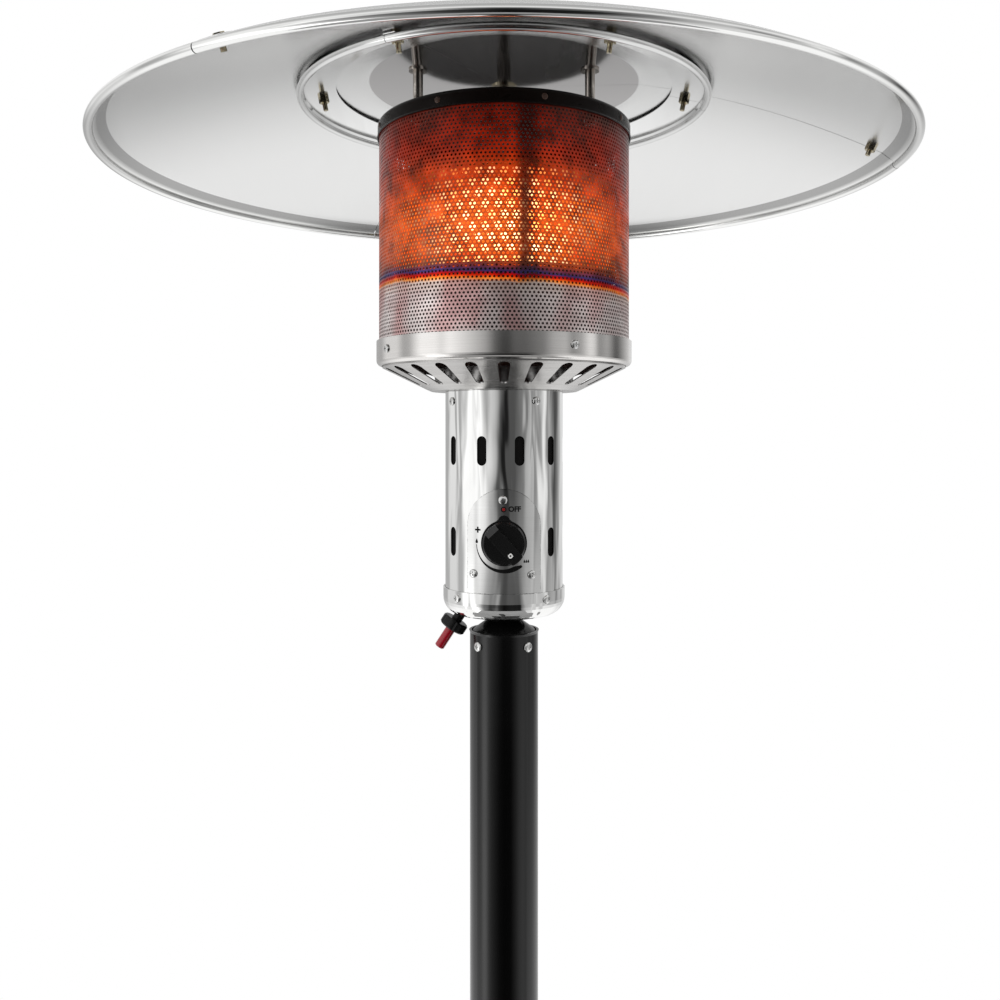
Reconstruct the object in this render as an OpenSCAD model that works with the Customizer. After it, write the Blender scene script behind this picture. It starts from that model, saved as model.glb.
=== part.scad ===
// Gas mushroom patio heater, free standing, with a lift-up gas bottle housing.
// Millimetres, +Z up. The origin is on the floor on the heater's own axis.
// The dial and the knob face -Y. Angles named face_a turn from -Y towards +X,
// and angles named plan_a turn from +X towards +Y.

/* [Base] */
// Width of the base past the bottle housing
base_past_housing = 30.5; // [28:0.5:44]
// Height of the base's flat top above the floor
base_h = 32; // [26:1:36]
// Sheet thickness of the base
base_t = 1.5; // [1.2:0.1:2]
// Width of the rim that is turned in under the base
base_rim_w = 14; // [10:1:18]
// Corner radius between the base's side and its top
base_corner_r = 9; // [6:1:12]
// Thickness of the ballast ring under the base
ballast_h = 12; // [8:1:16]
// Width of the ballast ring
ballast_w = 74; // [60:1:84]

/* [Wheels] */
// Diameter of the two carrying wheels
wheel_d = 76; // [70:1:84]
// Width of a wheel
wheel_w = 24; // [18:1:30]
// Diameter of the axle
axle_d = 8; // [6:0.5:9]
// Height of the wheels above the floor while the heater stands
wheel_lift = 3; // [2:0.5:6]
// Width of the wheel bracket between its ears
bracket_w = 114; // [100:1:130]
// Sheet thickness of the wheel bracket
bracket_t = 3; // [2:0.5:4]

/* [Support] */
// Width of a support leg's strap
leg_w = 38; // [30:1:46]
// Thickness of a support leg's strap
leg_t = 4; // [3:0.5:5]
// Height of a leg's upright stretch
leg_upright_h = 528; // [480:1:560]
// Drop from the housing's top to the underside of the post socket's plate
socket_down = 82.3; // [76:0.1:100]
// Gap between the legs and the housing's wall
leg_gap = 9; // [6:1:14]
// Thickness of the post socket's plate
socket_plate_t = 4; // [3:0.5:6]
// Height of the post socket's sleeve
socket_h = 56; // [40:1:60]
// Wall of the post socket's sleeve
socket_wall = 3; // [2:0.5:4]

/* [Post] */
// Outer diameter of the post
post_d = 71; // [60:1:76]
// Wall of the post
post_wall = 1.6; // [1.2:0.1:2.5]
// Length of the post
post_len = 926.5; // [800:1:1000]

/* [Bottle housing] */
// Outer diameter of the bottle housing
housing_d = 396; // [380:1:410]
// Wall of the bottle housing
housing_wall = 1; // [0.8:0.1:1.5]
// Height of the housing's straight wall
housing_h = 655; // [630:1:700]
// Height of the housing's sloping top
housing_cone_h = 95; // [85:1:130]
// Height of the collar round the post
collar_h = 24; // [16:1:36]

/* [Head shells] */
// Height of the bracket that shows between the post and the cup
neck_h = 17.5; // [14:0.5:24]
// Outer diameter of the control tube
tube_d = 122; // [116:1:130]
// Wall of the control tube
tube_wall = 1.2; // [0.8:0.1:1.6]
// Height of the control tube above the cup's rim
tube_h = 202; // [190:1:230]
// Height of the cup
cup_h = 28; // [25:1:34]
// Wall of the cup
cup_wall = 1.8; // [1.2:0.1:2]
// Corner radius of the cup's bottom
cup_corner_r = 18; // [12:1:20]
// Width of an air slot in the control tube
slot_w = 10; // [7:0.5:12]
// Length of an air slot in the control tube
slot_h = 29.2; // [22:0.2:34]
// Number of air slots in a full row
slot_count = 10; // [8:1:12]

/* [Dial and knob] */
// Width of the dial plate across its arched top, along the front
dial_w = 73; // [66:1:78]
// Thickness of the dial plate
dial_t = 1.2; // [0.8:0.1:1.5]
// Height of the knob's axis above the cup's rim
knob_up = 51; // [46:1:56]
// Diameter of the knob
knob_d = 42.8; // [36:0.2:46]
// Depth of the knob
knob_h = 19.5; // [16:0.5:24]
// Width of the knob's grip bar
grip_w = 13.2; // [10:0.2:16]
// Travel of the knob when it is pushed in
knob_travel = 3; // [2:0.5:4]
// Diameter of the valve spindle
spindle_d = 8; // [6:0.5:9]

/* [Igniter] */
// Tilt of the igniter from the vertical
igniter_tilt = 33; // [20:1:40]
// Diameter of the igniter's push button
button_d = 10.4; // [8:0.2:11]
// Length of the push button outside its nut
button_len = 23.5; // [16:0.5:28]
// Travel of the push button
button_travel = 5; // [3:0.5:7]
// Diameter of the igniter's nut
igniter_nut_d = 28; // [24:0.5:31]
// Thickness of the igniter's nut
igniter_nut_h = 10.5; // [8:0.5:12]

/* [Burner] */
// Outer diameter of the emitter screen
screen_d = 258.8; // [240:0.2:270]
// Wall of the emitter screen
screen_t = 0.8; // [0.6:0.1:1.2]
// Height of the screen that shows between its collar and its cap
screen_show_h = 209; // [190:1:230]
// Rise of the slotted pan from the control tube to its rim
pan_rise = 24; // [20:0.5:32]
// Sheet thickness of the pan, the collar and the cap
pan_t = 1.2; // [0.8:0.1:1.5]
// Number of slots in the pan
pan_slot_count = 24; // [16:1:28]
// Height of the collar that holds the screen
collar_band_h = 20; // [14:0.5:26]
// Height of the screen's cap
cap_h = 15; // [12:0.5:20]
// Diameter of the burner drum
drum_d = 232; // [210:1:236]
// Height of the burner drum
drum_h = 106; // [90:1:116]
// Distance from the screen's lower visible edge up to the drum
drum_up = 61; // [50:1:70]
// Diameter of the mixing tube
mixing_d = 36; // [30:1:40]

/* [Reflector] */
// Diameter of the domed reflector
dome_d = 812.8; // [700:0.1:860]
// Sheet thickness of the reflector
dome_t = 0.8; // [0.6:0.1:1.2]
// Diameter of the reflector's flat middle
dome_disc_d = 280; // [260:1:300]
// Fall of the reflector from its flat middle to its shoulder
dome_fall = 74.4; // [60:0.2:90]
// Bulge of the slope above a straight cone
dome_bulge = 10; // [5:0.5:14]
// Width of the turned-down skirt at the edge
skirt_w = 19.4; // [15:0.2:24]
// Fall of the skirt
skirt_fall = 16.2; // [12:0.2:20]
// Radius of the rolled bead at the edge
bead_r = 4.2; // [3:0.1:5]
// Height of the reflector's flat middle above the screen's cap
dome_up = 43; // [40:0.5:55]
// Diameter of the circle of the three carrying studs
stud_circle_d = 197.6; // [170:0.2:210]
// Diameter of a carrying stud
stud_d = 10; // [6:0.5:11]
// Diameter of the inner ring's hole
ring_hole_d = 346; // [330:1:360]
// Width of the inner ring's flat
ring_flat_w = 32; // [28:1:40]
// Gap between the inner ring's outer edge and the reflector over it
ring_gap = 3.2; // [2.6:0.1:7]

/* [Hidden] */
$fn = 96;

// Named clearances: between shells that slip together, between moving bodies,
// radially in a running fit, and round a fastener in its hole
slip = 0.3;
apart = 0.3;
run = 0.05;
hole_fit = 0.3;
// Lap of a cutting tool past the face that it cuts, and of a solid into the one it joins
past = 1;
weld = 0.05;
// Angle between neighbours of a set of three
third = 120;

// Base levels and radii
base_top = base_h;
housing_r = housing_d / 2;
base_r = housing_r + base_past_housing;
leg_r = housing_r - housing_wall - leg_gap;
leg_foot_w = 42;
foot_bolt_in = 26;
foot_bolt_r = leg_r - foot_bolt_in;
foot_bolt_edge = 9;
foot_bolt_side = leg_w / 2 - foot_bolt_edge;
ballast_past_leg = 12;
ballast_r = leg_r + ballast_past_leg;
bolt_d = 6;
bolt_r = bolt_d / 2;
bolt_hole_r = bolt_r + hole_fit;
bolt_head_h = 4;
bolt_head_r = 5.75;
bolt_nut_h = 4;
bolt_tail = 2;

// Wheel levels
wheel_r = wheel_d / 2;
axle_r = axle_d / 2;
axle_z = wheel_lift + wheel_r;
ear_x = bracket_w / 2;
bracket_past_housing = 3;
bracket_y0 = housing_r + bracket_past_housing;
wheel_past_base = 4;
axle_y = sqrt(pow(base_r, 2) - pow(ear_x + bracket_t, 2)) + wheel_r + wheel_past_base;
wheel_x0 = ear_x + bracket_t + 2 * apart;
axle_cap_h = 3;
axle_tail = 2;
axle_x = wheel_x0 + wheel_w + apart + axle_cap_h + axle_tail;
bracket_bolt_in = 17;
bracket_bolt_x = ear_x - bracket_bolt_in;
bracket_bolt_back = 7;
bracket_bolt_y = bracket_y0 + bracket_bolt_back;

// Housing levels
housing_z0 = base_top + apart;
housing_shoulder = housing_z0 + housing_h;
housing_top = housing_shoulder + housing_cone_h;
post_r = post_d / 2;
collar_fit = 0.8;
collar_bore_r = post_r + collar_fit;
collar_boss_w = 12;
collar_boss_r = post_r + collar_boss_w;
collar_flange_w = 24;
collar_flange_r = post_r + collar_flange_w;

// Support and post levels
socket_z = housing_top - socket_down;
post_z0 = socket_z + socket_plate_t;
post_top = post_z0 + post_len;
socket_flange_w = 36;
socket_plate_r = post_r + socket_flange_w;
socket_bolt_out = 22;
socket_bolt_r = post_r + socket_bolt_out;
socket_in_r = post_r + slip;
pipe_r = 4.75;
pipe_wall = 1;
pipe_gap = 1.3;
inlet_boss_r = 9;

// Head levels
cup_z = post_top + neck_h;
cup_rim = cup_z + cup_h;
tube_r = tube_d / 2;
tube_in_r = tube_r - tube_wall;
cup_in_r = tube_r + slip;
cup_r = cup_in_r + cup_wall;
tube_tuck = 12;
tube_z0 = cup_rim - tube_tuck;
tube_top = cup_rim + tube_h;
cup_screw_down = 7;
cup_screw_z = cup_rim - cup_screw_down;
cup_screw_a = -48;
top_screw_down = 11;
top_screw_z = tube_top - top_screw_down;
top_screw_a = -58.5;
slot_phase = -21.3;
slot_pitch = 360 / slot_count;
slot_high_up = 141.3;
slot_high_z = cup_rim + slot_high_up;
slot_low_up = 49.5;
slot_low_z = cup_rim + slot_low_up;

// Small screws: their heads, their shanks and the holes that are drilled for them
screw_r = 1.7;
screw_head_r = 4.3;
screw_head_h = 2.4;
screw_len = 5;
screw_tail = 1.5;
drill_r = screw_r + hole_fit;
drill_in = 8;
drill_len = 23;

// Bracket between the post and the cup
sleeve_r = post_r - post_wall - slip;
bell_t = 2;
bell_sleeve_h = 40;
bell_shoulder_r = 6;
bell_shoulder_down = 4;
bell_fillet_r = 5;
bell_slope = 34;
bell_neck_r = 17.5;
bell_ring_r = 29.7;
bell_ring_t = 3.2;
bell_neck_down = 1;
bell_neck_z = cup_z - bell_ring_t - bell_neck_down;
post_screw_down = 13.5;
post_screw_z = post_top - post_screw_down;
post_screw_a = -47.4;
post_screw_head_r = 5;
post_screw_head_h = 2.8;
ring_screw_in = 6;
ring_screw_r = bell_ring_r - ring_screw_in;

// Dial and knob
dial_in_r = tube_r + run;
dial_r = dial_in_r + dial_t;
dial_z0 = cup_rim + apart;
knob_z = cup_rim + knob_up;
dial_arch_up = 16.6;
dial_arch_z = knob_z + dial_arch_up;
knob_r = knob_d / 2;
bezel_lip = 1.2;
bezel_r = knob_r + bezel_lip;
bezel_t = 2.6;
bezel_y = dial_r + bezel_t;
bezel_lobe_r = 6;
bezel_lobe_h = 4.6;
bezel_lobe_up = bezel_r + bezel_lobe_h - bezel_lobe_r;
bezel_lobe_a = acos((bezel_r - bezel_lobe_r) / bezel_lobe_up);
bezel_lobe_in = 1;
knob_y = bezel_y + knob_travel + apart;
knob_point_a = -48;
knob_skirt_h = 5.5;
knob_step_h = 3;
knob_step_in = 2.5;
knob_edge = 1.5;
knob_face_t = 5;
grip_in = 0.4;
grip_slope = 38;
spindle_r = spindle_d / 2;
spindle_clear = 3;
spindle_hole_r = spindle_r + spindle_clear;

// Valve, all on the tube's axis plane x = 0
valve_plate_in = 14;
valve_plate_y = tube_in_r - valve_plate_in;
valve_plate_t = 2;
valve_plate_h = 62;
valve_plate_down = 1;
valve_plate_z = knob_z - valve_plate_h / 2 - valve_plate_down;
valve_plate_fit = 0.5;
valve_half = sqrt(pow(tube_in_r, 2) - pow(valve_plate_y, 2)) - valve_plate_fit;
valve_flange = 12;
valve_back_y = valve_plate_y - valve_plate_t;
valve_r = 15;
valve_tail = 10;
valve_neck_w = 3.2;
valve_neck_r = spindle_r + valve_neck_w;
valve_neck_len = 5;
boss_r = 9;
boss_half_h = 25;
valve_low_z = knob_z - boss_half_h;
valve_high_z = knob_z + boss_half_h;
pipe_socket = 9.3;
pushrod_r = 3;
pushrod_len = 11;
spindle_y0 = 14;
jet_r = 5;
jet_bore_r = 1;
jet_socket = 8;
jet_hex_r = 7.5;
injector_h = 14;
injector_hex_h = 9;

// Mixing tube between the jet and the drum
mixing_r = mixing_d / 2;
mixing_wall = 1.2;
jet_gap = 2;
mixing_z0 = valve_high_z + injector_h + jet_gap;
mixing_flange_w = 8;
mixing_flange_r = mixing_r + mixing_flange_w;
mixing_flange_t = 1.6;
mixing_bead_w = 4;
mixing_bead_r = mixing_r + mixing_bead_w;
mixing_bead_t = 2;
mixing_in_drum = 6;
air_hole_r = 5;
air_hole_up = 14;

// Igniter, on a tilted axis through the cup's bottom; s runs along it, into the cup
igniter_in = 0.7;
igniter_x = -(cup_r - cup_corner_r) + igniter_in;
igniter_neck_r = 5.4;
igniter_body_r = 8;
igniter_body_len = 34;
igniter_body_gap = 2.5;
igniter_body_s = (cup_wall + igniter_body_r * sin(igniter_tilt)) / cos(igniter_tilt) + igniter_body_gap;
igniter_nut_s = 8.9;
igniter_nut_edge = 1.5;
notch_r = 3;
button_r = button_d / 2;
button_tuck = 0.5;
button_end_s = igniter_nut_s + igniter_nut_h - button_tuck;
igniter_neck_len = button_end_s - button_travel - apart;
button_stem_r = 3;
button_stem_in = 8;
button_edge = 1;

// Burner levels, measured up from the control tube's top
pan_z = tube_top;
pan_plate_w = 15;
pan_plate_r = tube_r + pan_plate_w;
pan_bend_w = 4.5;
pan_bend_h = 2;
screen_r = screen_d / 2;
pan_rim_in = 3.4;
pan_rim_r = screen_r - pan_rim_in;
pan_rim_z = pan_z + pan_rise;
pan_lip_h = 5.6;
pan_lip_w = 0.5;
pan_flange_z = pan_rim_z + pan_lip_h;
pan_skirt_r = tube_in_r - slip;
pan_skirt_h = 20;
pan_guard_in = 4;
pan_guard_r = pan_plate_r - pan_guard_in;
pan_guard_h = 22;
pan_slot_out = 14;
pan_slot_r0 = pan_plate_r + pan_slot_out;
pan_slot_in = 8;
pan_slot_r1 = pan_rim_r - pan_slot_in;
pan_slot_half0 = 4;
pan_slot_half1 = 6;
band_gap = 1.5;
band_in_r = screen_r + band_gap;
band_r = band_in_r + pan_t;
band_corner_r = 5.5;
band_up = 1.6;
band_z0 = pan_rim_z + band_up;
band_top = band_z0 + band_corner_r + collar_band_h;
collar_screw_down = 11.5;
collar_screw_z = band_top - collar_screw_down;
collar_screw_a = 30;
screen_z0 = pan_flange_z + pan_t;
cap_z = band_top + screen_show_h;
cap_in_r = screen_r + slip;
cap_r = cap_in_r + pan_t;
cap_top = cap_z + cap_h;
cap_corner_r = 4;
cap_flare = 0.6;
cap_flare_h = 1.5;
screen_z1 = cap_top - cap_corner_r;
rivet_r = 3;
rivet_edge_h = 0.9;
rivet_h = 1.2;
rivet_len = 3;
rivet_count = 8;
rivet_a = 16.7;
rivet_up = 7;
rivet_z = cap_z + rivet_up;
drum_r = drum_d / 2;
drum_z = band_top + drum_up;
drum_t = 1;

// Liner inside the screen's foot, from the pan up to just under the drum
liner_in = 1.4;
liner_r = pan_rim_r - liner_in;
liner_t = 0.8;
liner_foot = 1;
liner_z0 = pan_rim_z + liner_foot;
liner_down = 11;
liner_z1 = drum_z - liner_down;

// Pilot, thermocouple and spark electrode, up through the pan behind and to the left
pilot_plan_a = 150;
pilot_riser_in = 11.8;
pilot_riser_r = tube_in_r - pilot_riser_in;
pilot_out_in = 27.2;
pilot_out_r = screen_r - pilot_out_in;
pilot_down = 40;
pilot_z = drum_z - pilot_down;
pilot_tube_r = 2.2;
couple_r = 1.6;
couple_plan_a = 171;
couple_out_a = 160;
couple_riser_in = 9.2;
couple_riser_r = tube_in_r - couple_riser_in;
couple_up = 24;
wire_r = 1.3;
electrode_plan_a = 137;
electrode_out_a = 140;
electrode_riser_in = 7.8;
electrode_riser_r = tube_in_r - electrode_riser_in;
electrode_up = 20;
electrode_foot_r = 3.2;
electrode_foot_h = 22;
electrode_foot_down = 6;
electrode_foot_z = pan_z - electrode_foot_down;
riser_low_up = 48;
riser_low_z = knob_z + riser_low_up;
riser_high_down = 25.5;
riser_high_z = pilot_z - riser_high_down;
pass_fit = 1.2;
hood_r = 6.5;
hood_in_r = 5;
hood_h = 22;
hood_floor = 4.3;
hood_plate_up = 6;
hood_plate_w = 14;
hood_plate_t = 2;
hood_plate_a = 30;
pilot_jet_r = 1.2;

// Reflector levels
dome_z = cap_top + dome_up;
dome_r = dome_d / 2;
dome_disc_r = dome_disc_d / 2;
shoulder_r = dome_r - skirt_w;
dome_hub_r = 8;
hub_plug_in = 0.4;
hub_flange_w = 5;
hub_flange_h = 1.4;
slope_steps = 10;
lap = 0.05;
seam_a = -4;
ring_seam_a = 0;
butt_a = 1;
lap_a = 2;
hold_a = 1.5;
hold_in = 1;
panel_gap_a = 0.02;
seam_bolt_in = 12;
seam_bolt_r = shoulder_r - seam_bolt_in;
stud_r = stud_d / 2;
stud_circle_r = stud_circle_d / 2;
stud_plan_a = 90;
stud_below = 10;
stud_above = 3;
washer_w = 4.2;
washer_r = stud_r + washer_w;
washer_h = 1.6;
nut_h = 6.5;
nut_w = 3.5;
nut_r = stud_r + nut_w;

// Inner ring levels
ring_hole_r = ring_hole_d / 2;
ring_flat_r = ring_hole_r + ring_flat_w;
ring_bead_r = 3.6;
ring_bolt_r = ring_hole_r + ring_flat_w / 2;
ring_bolt_count = 6;
small_bolt_r = 2.5;
small_hole_r = small_bolt_r + hole_fit;
small_head_r = 4.6;
small_head_h = 1.8;
small_nut_r = 5.4;
small_nut_h = 5.2;
seam_bolt_tail = 5;
ring_bolt_tail = 8;
spacer_r = 4.5;
spacer_clear = 0.2;

// Sheet metal profiles: a path of points and a thickness to its left
function unit(v) = v / norm(v);
function left_of(v) = [-v[1], v[0]];
function edge_left(p, i) = left_of(unit(p[i + 1] - p[i]));
function mitre(a, b) = (a + b) / (1 + a * b);
function beside(p, i, t) =
    i == 0 ? p[0] + t * edge_left(p, 0) :
    i == len(p) - 1 ? p[i] + t * edge_left(p, i - 1) :
    p[i] + t * mitre(edge_left(p, i - 1), edge_left(p, i));
function layer(p, t0, t1) = concat(
    [for (i = [0:len(p) - 1]) beside(p, i, t0)],
    [for (i = [len(p) - 1:-1:0]) beside(p, i, t1)]);
function sheet(p, t) = layer(p, 0, t);
function arc(x, z, r, a0, a1, n) = [
    for (i = [0:n])
        [x + r * cos(a0 + (a1 - a0) * i / n), z + r * sin(a0 + (a1 - a0) * i / n)]
];
function at_plan(r, a, z) = [r * cos(a), r * sin(a), z];

// Underside height of the reflector at radius r
function dome_under(r) =
    r <= dome_disc_r ? dome_z :
    let (s = (r - dome_disc_r) / (shoulder_r - dome_disc_r))
    dome_z - s * dome_fall + 4 * dome_bulge * s * (1 - s);

ring_z = dome_under(ring_flat_r) - ring_gap;
ring_fall = dome_under(ring_hole_r) - dome_under(ring_flat_r);
ring_slope = atan(ring_fall / ring_flat_w);
function ring_under(r) = ring_z + (ring_flat_r - r) * ring_fall / ring_flat_w;
// How far the ring lies under the reflector at its bolts, square to the slope
ring_drop = (dome_under(ring_bolt_r) - ring_under(ring_bolt_r)) * cos(ring_slope);

module turned(p) {
    rotate_extrude() polygon(p);
}

module tube(r_out, r_in, h) {
    difference() {
        cylinder(r = r_out, h = h);
        translate([0, 0, -past]) cylinder(r = r_in, h = h + 2 * past);
    }
}

// A thing drawn pointing up is set on a wall, pointing out of the face at face_a
module on_face(face_a, r, z) {
    rotate([0, 0, face_a]) translate([0, -r, z]) rotate([90, 0, 0]) children();
}

// A hole for a small screw, drilled outwards through a wall whose inside is at z = 0
module screw_hole() {
    translate([0, 0, -drill_in]) cylinder(r = drill_r, h = drill_len);
}

// A thing drawn pointing up is set on the igniter's axis, pointing into the cup
module on_igniter() {
    translate([igniter_x, 0, cup_z]) rotate([0, igniter_tilt, 0]) children();
}

// A straight round rod from one point to another
module rod(a, b, r) {
    d = b - a;
    translate(a)
        rotate([0, acos(d[2] / norm(d)), atan2(d[1], d[0])])
            cylinder(r = r, h = norm(d), $fn = 32);
}

// A bend of a pipe at p, from direction a to direction b
module elbow(p, a, b, bend, r) {
    turn = acos(a * b);
    n = unit(b - (a * b) * a);
    c = p - a * bend * tan(turn / 2) + n * bend;
    z = cross(-n, a);
    multmatrix([[-n[0], a[0], z[0], c[0]], [-n[1], a[1], z[1], c[1]], [-n[2], a[2], z[2], c[2]]])
        rotate_extrude(angle = turn, $fn = 48) translate([bend, 0]) circle(r = r, $fn = 24);
}

// A bent pipe along a list of points; its bends are a little fuller than its straights,
// which run on into them
bend_share = 2.5;
bend_full = 1.08;
bend_weld = 0.4;
function heading(p, i) = unit(p[i + 1] - p[i]);
function setback(p, i, bend) =
    i == 0 || i == len(p) - 1 ? 0 : bend * tan(acos(heading(p, i - 1) * heading(p, i)) / 2) - bend_weld;

module pipe(points, r) {
    bend = bend_share * r;
    for (i = [0:len(points) - 2])
        rod(points[i] + heading(points, i) * setback(points, i, bend),
            points[i + 1] - heading(points, i) * setback(points, i + 1, bend), r);
    for (i = [1:len(points) - 2])
        elbow(points[i], heading(points, i - 1), heading(points, i), bend, r * bend_full);
}

// Pan head screw with a cross recess; its seat is at z = 0 and its head above
module pan_screw(head_r, head_h, shank_r, shank_len) {
    // Shares of the head: height of its rim, half length and half width of the recess,
    // and the level of the recess's floor
    rim = 0.35;
    recess = 0.5;
    recess_w = 0.1;
    recess_z = 0.6;
    difference() {
        union() {
            turned(concat([[0, 0], [head_r, 0]],
                [for (i = [0:5]) [head_r * cos(i * 15), head_h * (rim + (1 - rim) * sin(i * 15))]],
                [[0, head_h]]));
            translate([0, 0, -shank_len]) cylinder(r = shank_r, h = shank_len + head_h / 2);
        }
        for (a = [0, 90])
            rotate([0, 0, a])
                translate([-head_r * recess, -head_r * recess_w, head_h * recess_z])
                    cube([2 * head_r * recess, 2 * head_r * recess_w, head_h]);
    }
}

// Hexagon bolt with its head above z = 0 and its nut's top at z = -grip
module hex_bolt(shank_r, head_r, head_h, grip, nut_size, nut_thick, tail) {
    cylinder(r = head_r, h = head_h, $fn = 6);
    translate([0, 0, -grip - nut_thick - tail]) cylinder(r = shank_r, h = grip + nut_thick + tail + weld);
    translate([0, 0, -grip - nut_thick]) cylinder(r = nut_size, h = nut_thick, $fn = 6);
}

module small_bolt(grip, tail) {
    hex_bolt(small_bolt_r, small_head_r, small_head_h, grip, small_nut_r, small_nut_h, tail);
}

module frame_bolt(grip) {
    hex_bolt(bolt_r, bolt_head_r, bolt_head_h, grip, bolt_head_r, bolt_nut_h, bolt_tail);
}

// Places of the bolts
module at_leg(k) {
    rotate([0, 0, third * k - 90]) children();
}

module at_foot_bolts() {
    for (k = [0:2], side = [-1, 1])
        at_leg(k + 0.5) translate([foot_bolt_r, side * foot_bolt_side, 0]) children();
}

module at_bracket_bolts() {
    for (side = [-1, 1]) translate([side * bracket_bolt_x, bracket_bolt_y, 0]) children();
}

module at_socket_bolts() {
    for (k = [0:2]) at_leg(k + 0.5) translate([socket_bolt_r, 0, 0]) children();
}

module at_studs() {
    for (k = [0:2]) rotate([0, 0, stud_plan_a + third * k]) translate([stud_circle_r, 0, 0]) children();
}

// Base
base_path = concat(
    [[base_r - base_rim_w, 0], [base_r - base_t, 0], [base_r, base_t]],
    arc(base_r - base_corner_r, base_top - base_corner_r, base_corner_r, 0, 90, 6),
    [[0, base_top]]);

module base_plate() {
    color("#202122") difference() {
        turned(sheet(base_path, base_t));
        at_foot_bolts() cylinder(r = bolt_hole_r, h = base_h + past);
        at_bracket_bolts() cylinder(r = bolt_hole_r, h = base_h + past);
    }
}

module base_ballast() {
    color("#3a3b3c") translate([0, 0, base_top - base_t - ballast_h]) difference() {
        tube(ballast_r, ballast_r - ballast_w, ballast_h);
        at_foot_bolts() translate([0, 0, -past]) cylinder(r = bolt_hole_r, h = ballast_h + 2 * past);
    }
}

// Wheels, axle and their bracket, at the back of the base
ear_above = 2;
ear_h = axle_z + axle_d + ear_above - base_top;

module wheel_bracket() {
    color("#202122") difference() {
        union() {
            translate([-ear_x - bracket_t, bracket_y0, base_top])
                cube([2 * (ear_x + bracket_t), axle_y - wheel_r / 2 - bracket_y0, bracket_t]);
            for (side = [-1, 1])
                translate([side * (ear_x + bracket_t / 2) - bracket_t / 2, bracket_y0, base_top])
                    cube([bracket_t, axle_y + axle_d - bracket_y0, ear_h]);
        }
        translate([-ear_x - 2 * bracket_t, axle_y, axle_z]) rotate([0, 90, 0])
            cylinder(r = axle_r + run, h = 2 * ear_x + 4 * bracket_t);
        at_bracket_bolts() translate([0, 0, base_top - past])
            cylinder(r = bolt_hole_r, h = bracket_t + 2 * past);
    }
}

module axle() {
    color("silver") translate([-axle_x, axle_y, axle_z]) rotate([0, 90, 0])
        cylinder(r = axle_r, h = 2 * axle_x);
}

module axle_caps() {
    color("silver") for (side = [-1, 1])
        translate([side * (wheel_x0 + wheel_w + apart), axle_y, axle_z]) rotate([0, 90 * side, 0])
            tube(axle_r + 3, axle_r + run, axle_cap_h);
}

module wheel() {
    tread = 6;
    edge = 3;
    web = wheel_w / 4;
    bore_r = axle_r + run;
    hub_r = axle_r + 6;
    rotate([0, 90, 0]) difference() {
        turned([
            [bore_r, 0], [hub_r, 0], [hub_r, web],
            [wheel_r - tread, web], [wheel_r - tread, 0], [wheel_r - edge, 0], [wheel_r, edge],
            [wheel_r, wheel_w - edge], [wheel_r - edge, wheel_w], [wheel_r - tread, wheel_w],
            [wheel_r - tread, wheel_w - web], [hub_r, wheel_w - web],
            [hub_r, wheel_w], [bore_r, wheel_w]
        ]);
        // Six holes through the web
        for (a = [0:60:300])
            rotate([0, 0, a]) translate([(wheel_r - tread + hub_r) / 2, 0, -past])
                cylinder(r = (wheel_r - tread - hub_r) / 4, h = wheel_w + 2 * past);
    }
}

module wheel_right() {
    color("#151515") translate([wheel_x0, axle_y, axle_z]) wheel();
}

module wheel_left() {
    color("#151515") mirror([1, 0, 0]) wheel_right();
}

// Support legs: a strap bent from a foot to an upright, a slope and a top flange
leg_knee_z = base_top + leg_upright_h;
flange_z = socket_z - leg_t;
flange_past = 2;
flange_out_r = socket_plate_r + flange_past;
flange_clear = 8;
flange_in_r = post_r + flange_clear;
leg_outline = [
    [leg_r - leg_foot_w, base_top], [leg_r, base_top], [leg_r, leg_knee_z],
    [flange_out_r, socket_z], [flange_in_r, socket_z], [flange_in_r, flange_z],
    [socket_plate_r, flange_z], [leg_r - leg_t, leg_knee_z - leg_t / 2],
    [leg_r - leg_t, base_top + leg_t], [leg_r - leg_foot_w, base_top + leg_t]
];

module support_leg(k) {
    color("#202122") difference() {
        at_leg(k + 0.5) translate([0, leg_w / 2, 0]) rotate([90, 0, 0])
            linear_extrude(height = leg_w) polygon(leg_outline);
        at_foot_bolts() translate([0, 0, base_top - past])
            cylinder(r = bolt_hole_r, h = leg_t + 2 * past);
        at_socket_bolts() translate([0, 0, flange_z - past])
            cylinder(r = bolt_hole_r, h = leg_t + 2 * past);
    }
}

module foot_bolts() {
    color("silver") {
        at_foot_bolts() translate([0, 0, base_top + leg_t])
            frame_bolt(leg_t + base_t + ballast_h);
        at_bracket_bolts() translate([0, 0, base_top + bracket_t])
            frame_bolt(bracket_t + base_t);
    }
}

module post_socket() {
    color("#202122") difference() {
        union() {
            translate([0, 0, socket_z]) cylinder(r = socket_plate_r, h = socket_plate_t);
            translate([0, 0, post_z0 - weld]) tube(socket_in_r + socket_wall, socket_in_r, socket_h);
        }
        translate([0, 0, socket_z - past])
            cylinder(r = inlet_boss_r + hole_fit, h = socket_plate_t + 2 * past);
        at_socket_bolts() translate([0, 0, socket_z - past])
            cylinder(r = bolt_hole_r, h = socket_plate_t + 2 * past);
    }
}

module socket_bolts() {
    color("silver") at_socket_bolts() translate([0, 0, post_z0]) frame_bolt(leg_t + socket_plate_t);
}

module post() {
    flare = 0.9;
    flare_h = 2.5;
    color("#0c0c0d") difference() {
        union() {
            translate([0, 0, post_z0]) cylinder(r = post_r, h = post_len);
            translate([0, 0, post_top - flare_h]) cylinder(r1 = post_r, r2 = post_r + flare, h = flare_h);
        }
        translate([0, 0, post_z0 - past]) cylinder(r = post_r - post_wall, h = post_len + 2 * past);
        at_post_screws(sleeve_r) screw_hole();
    }
}

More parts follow.
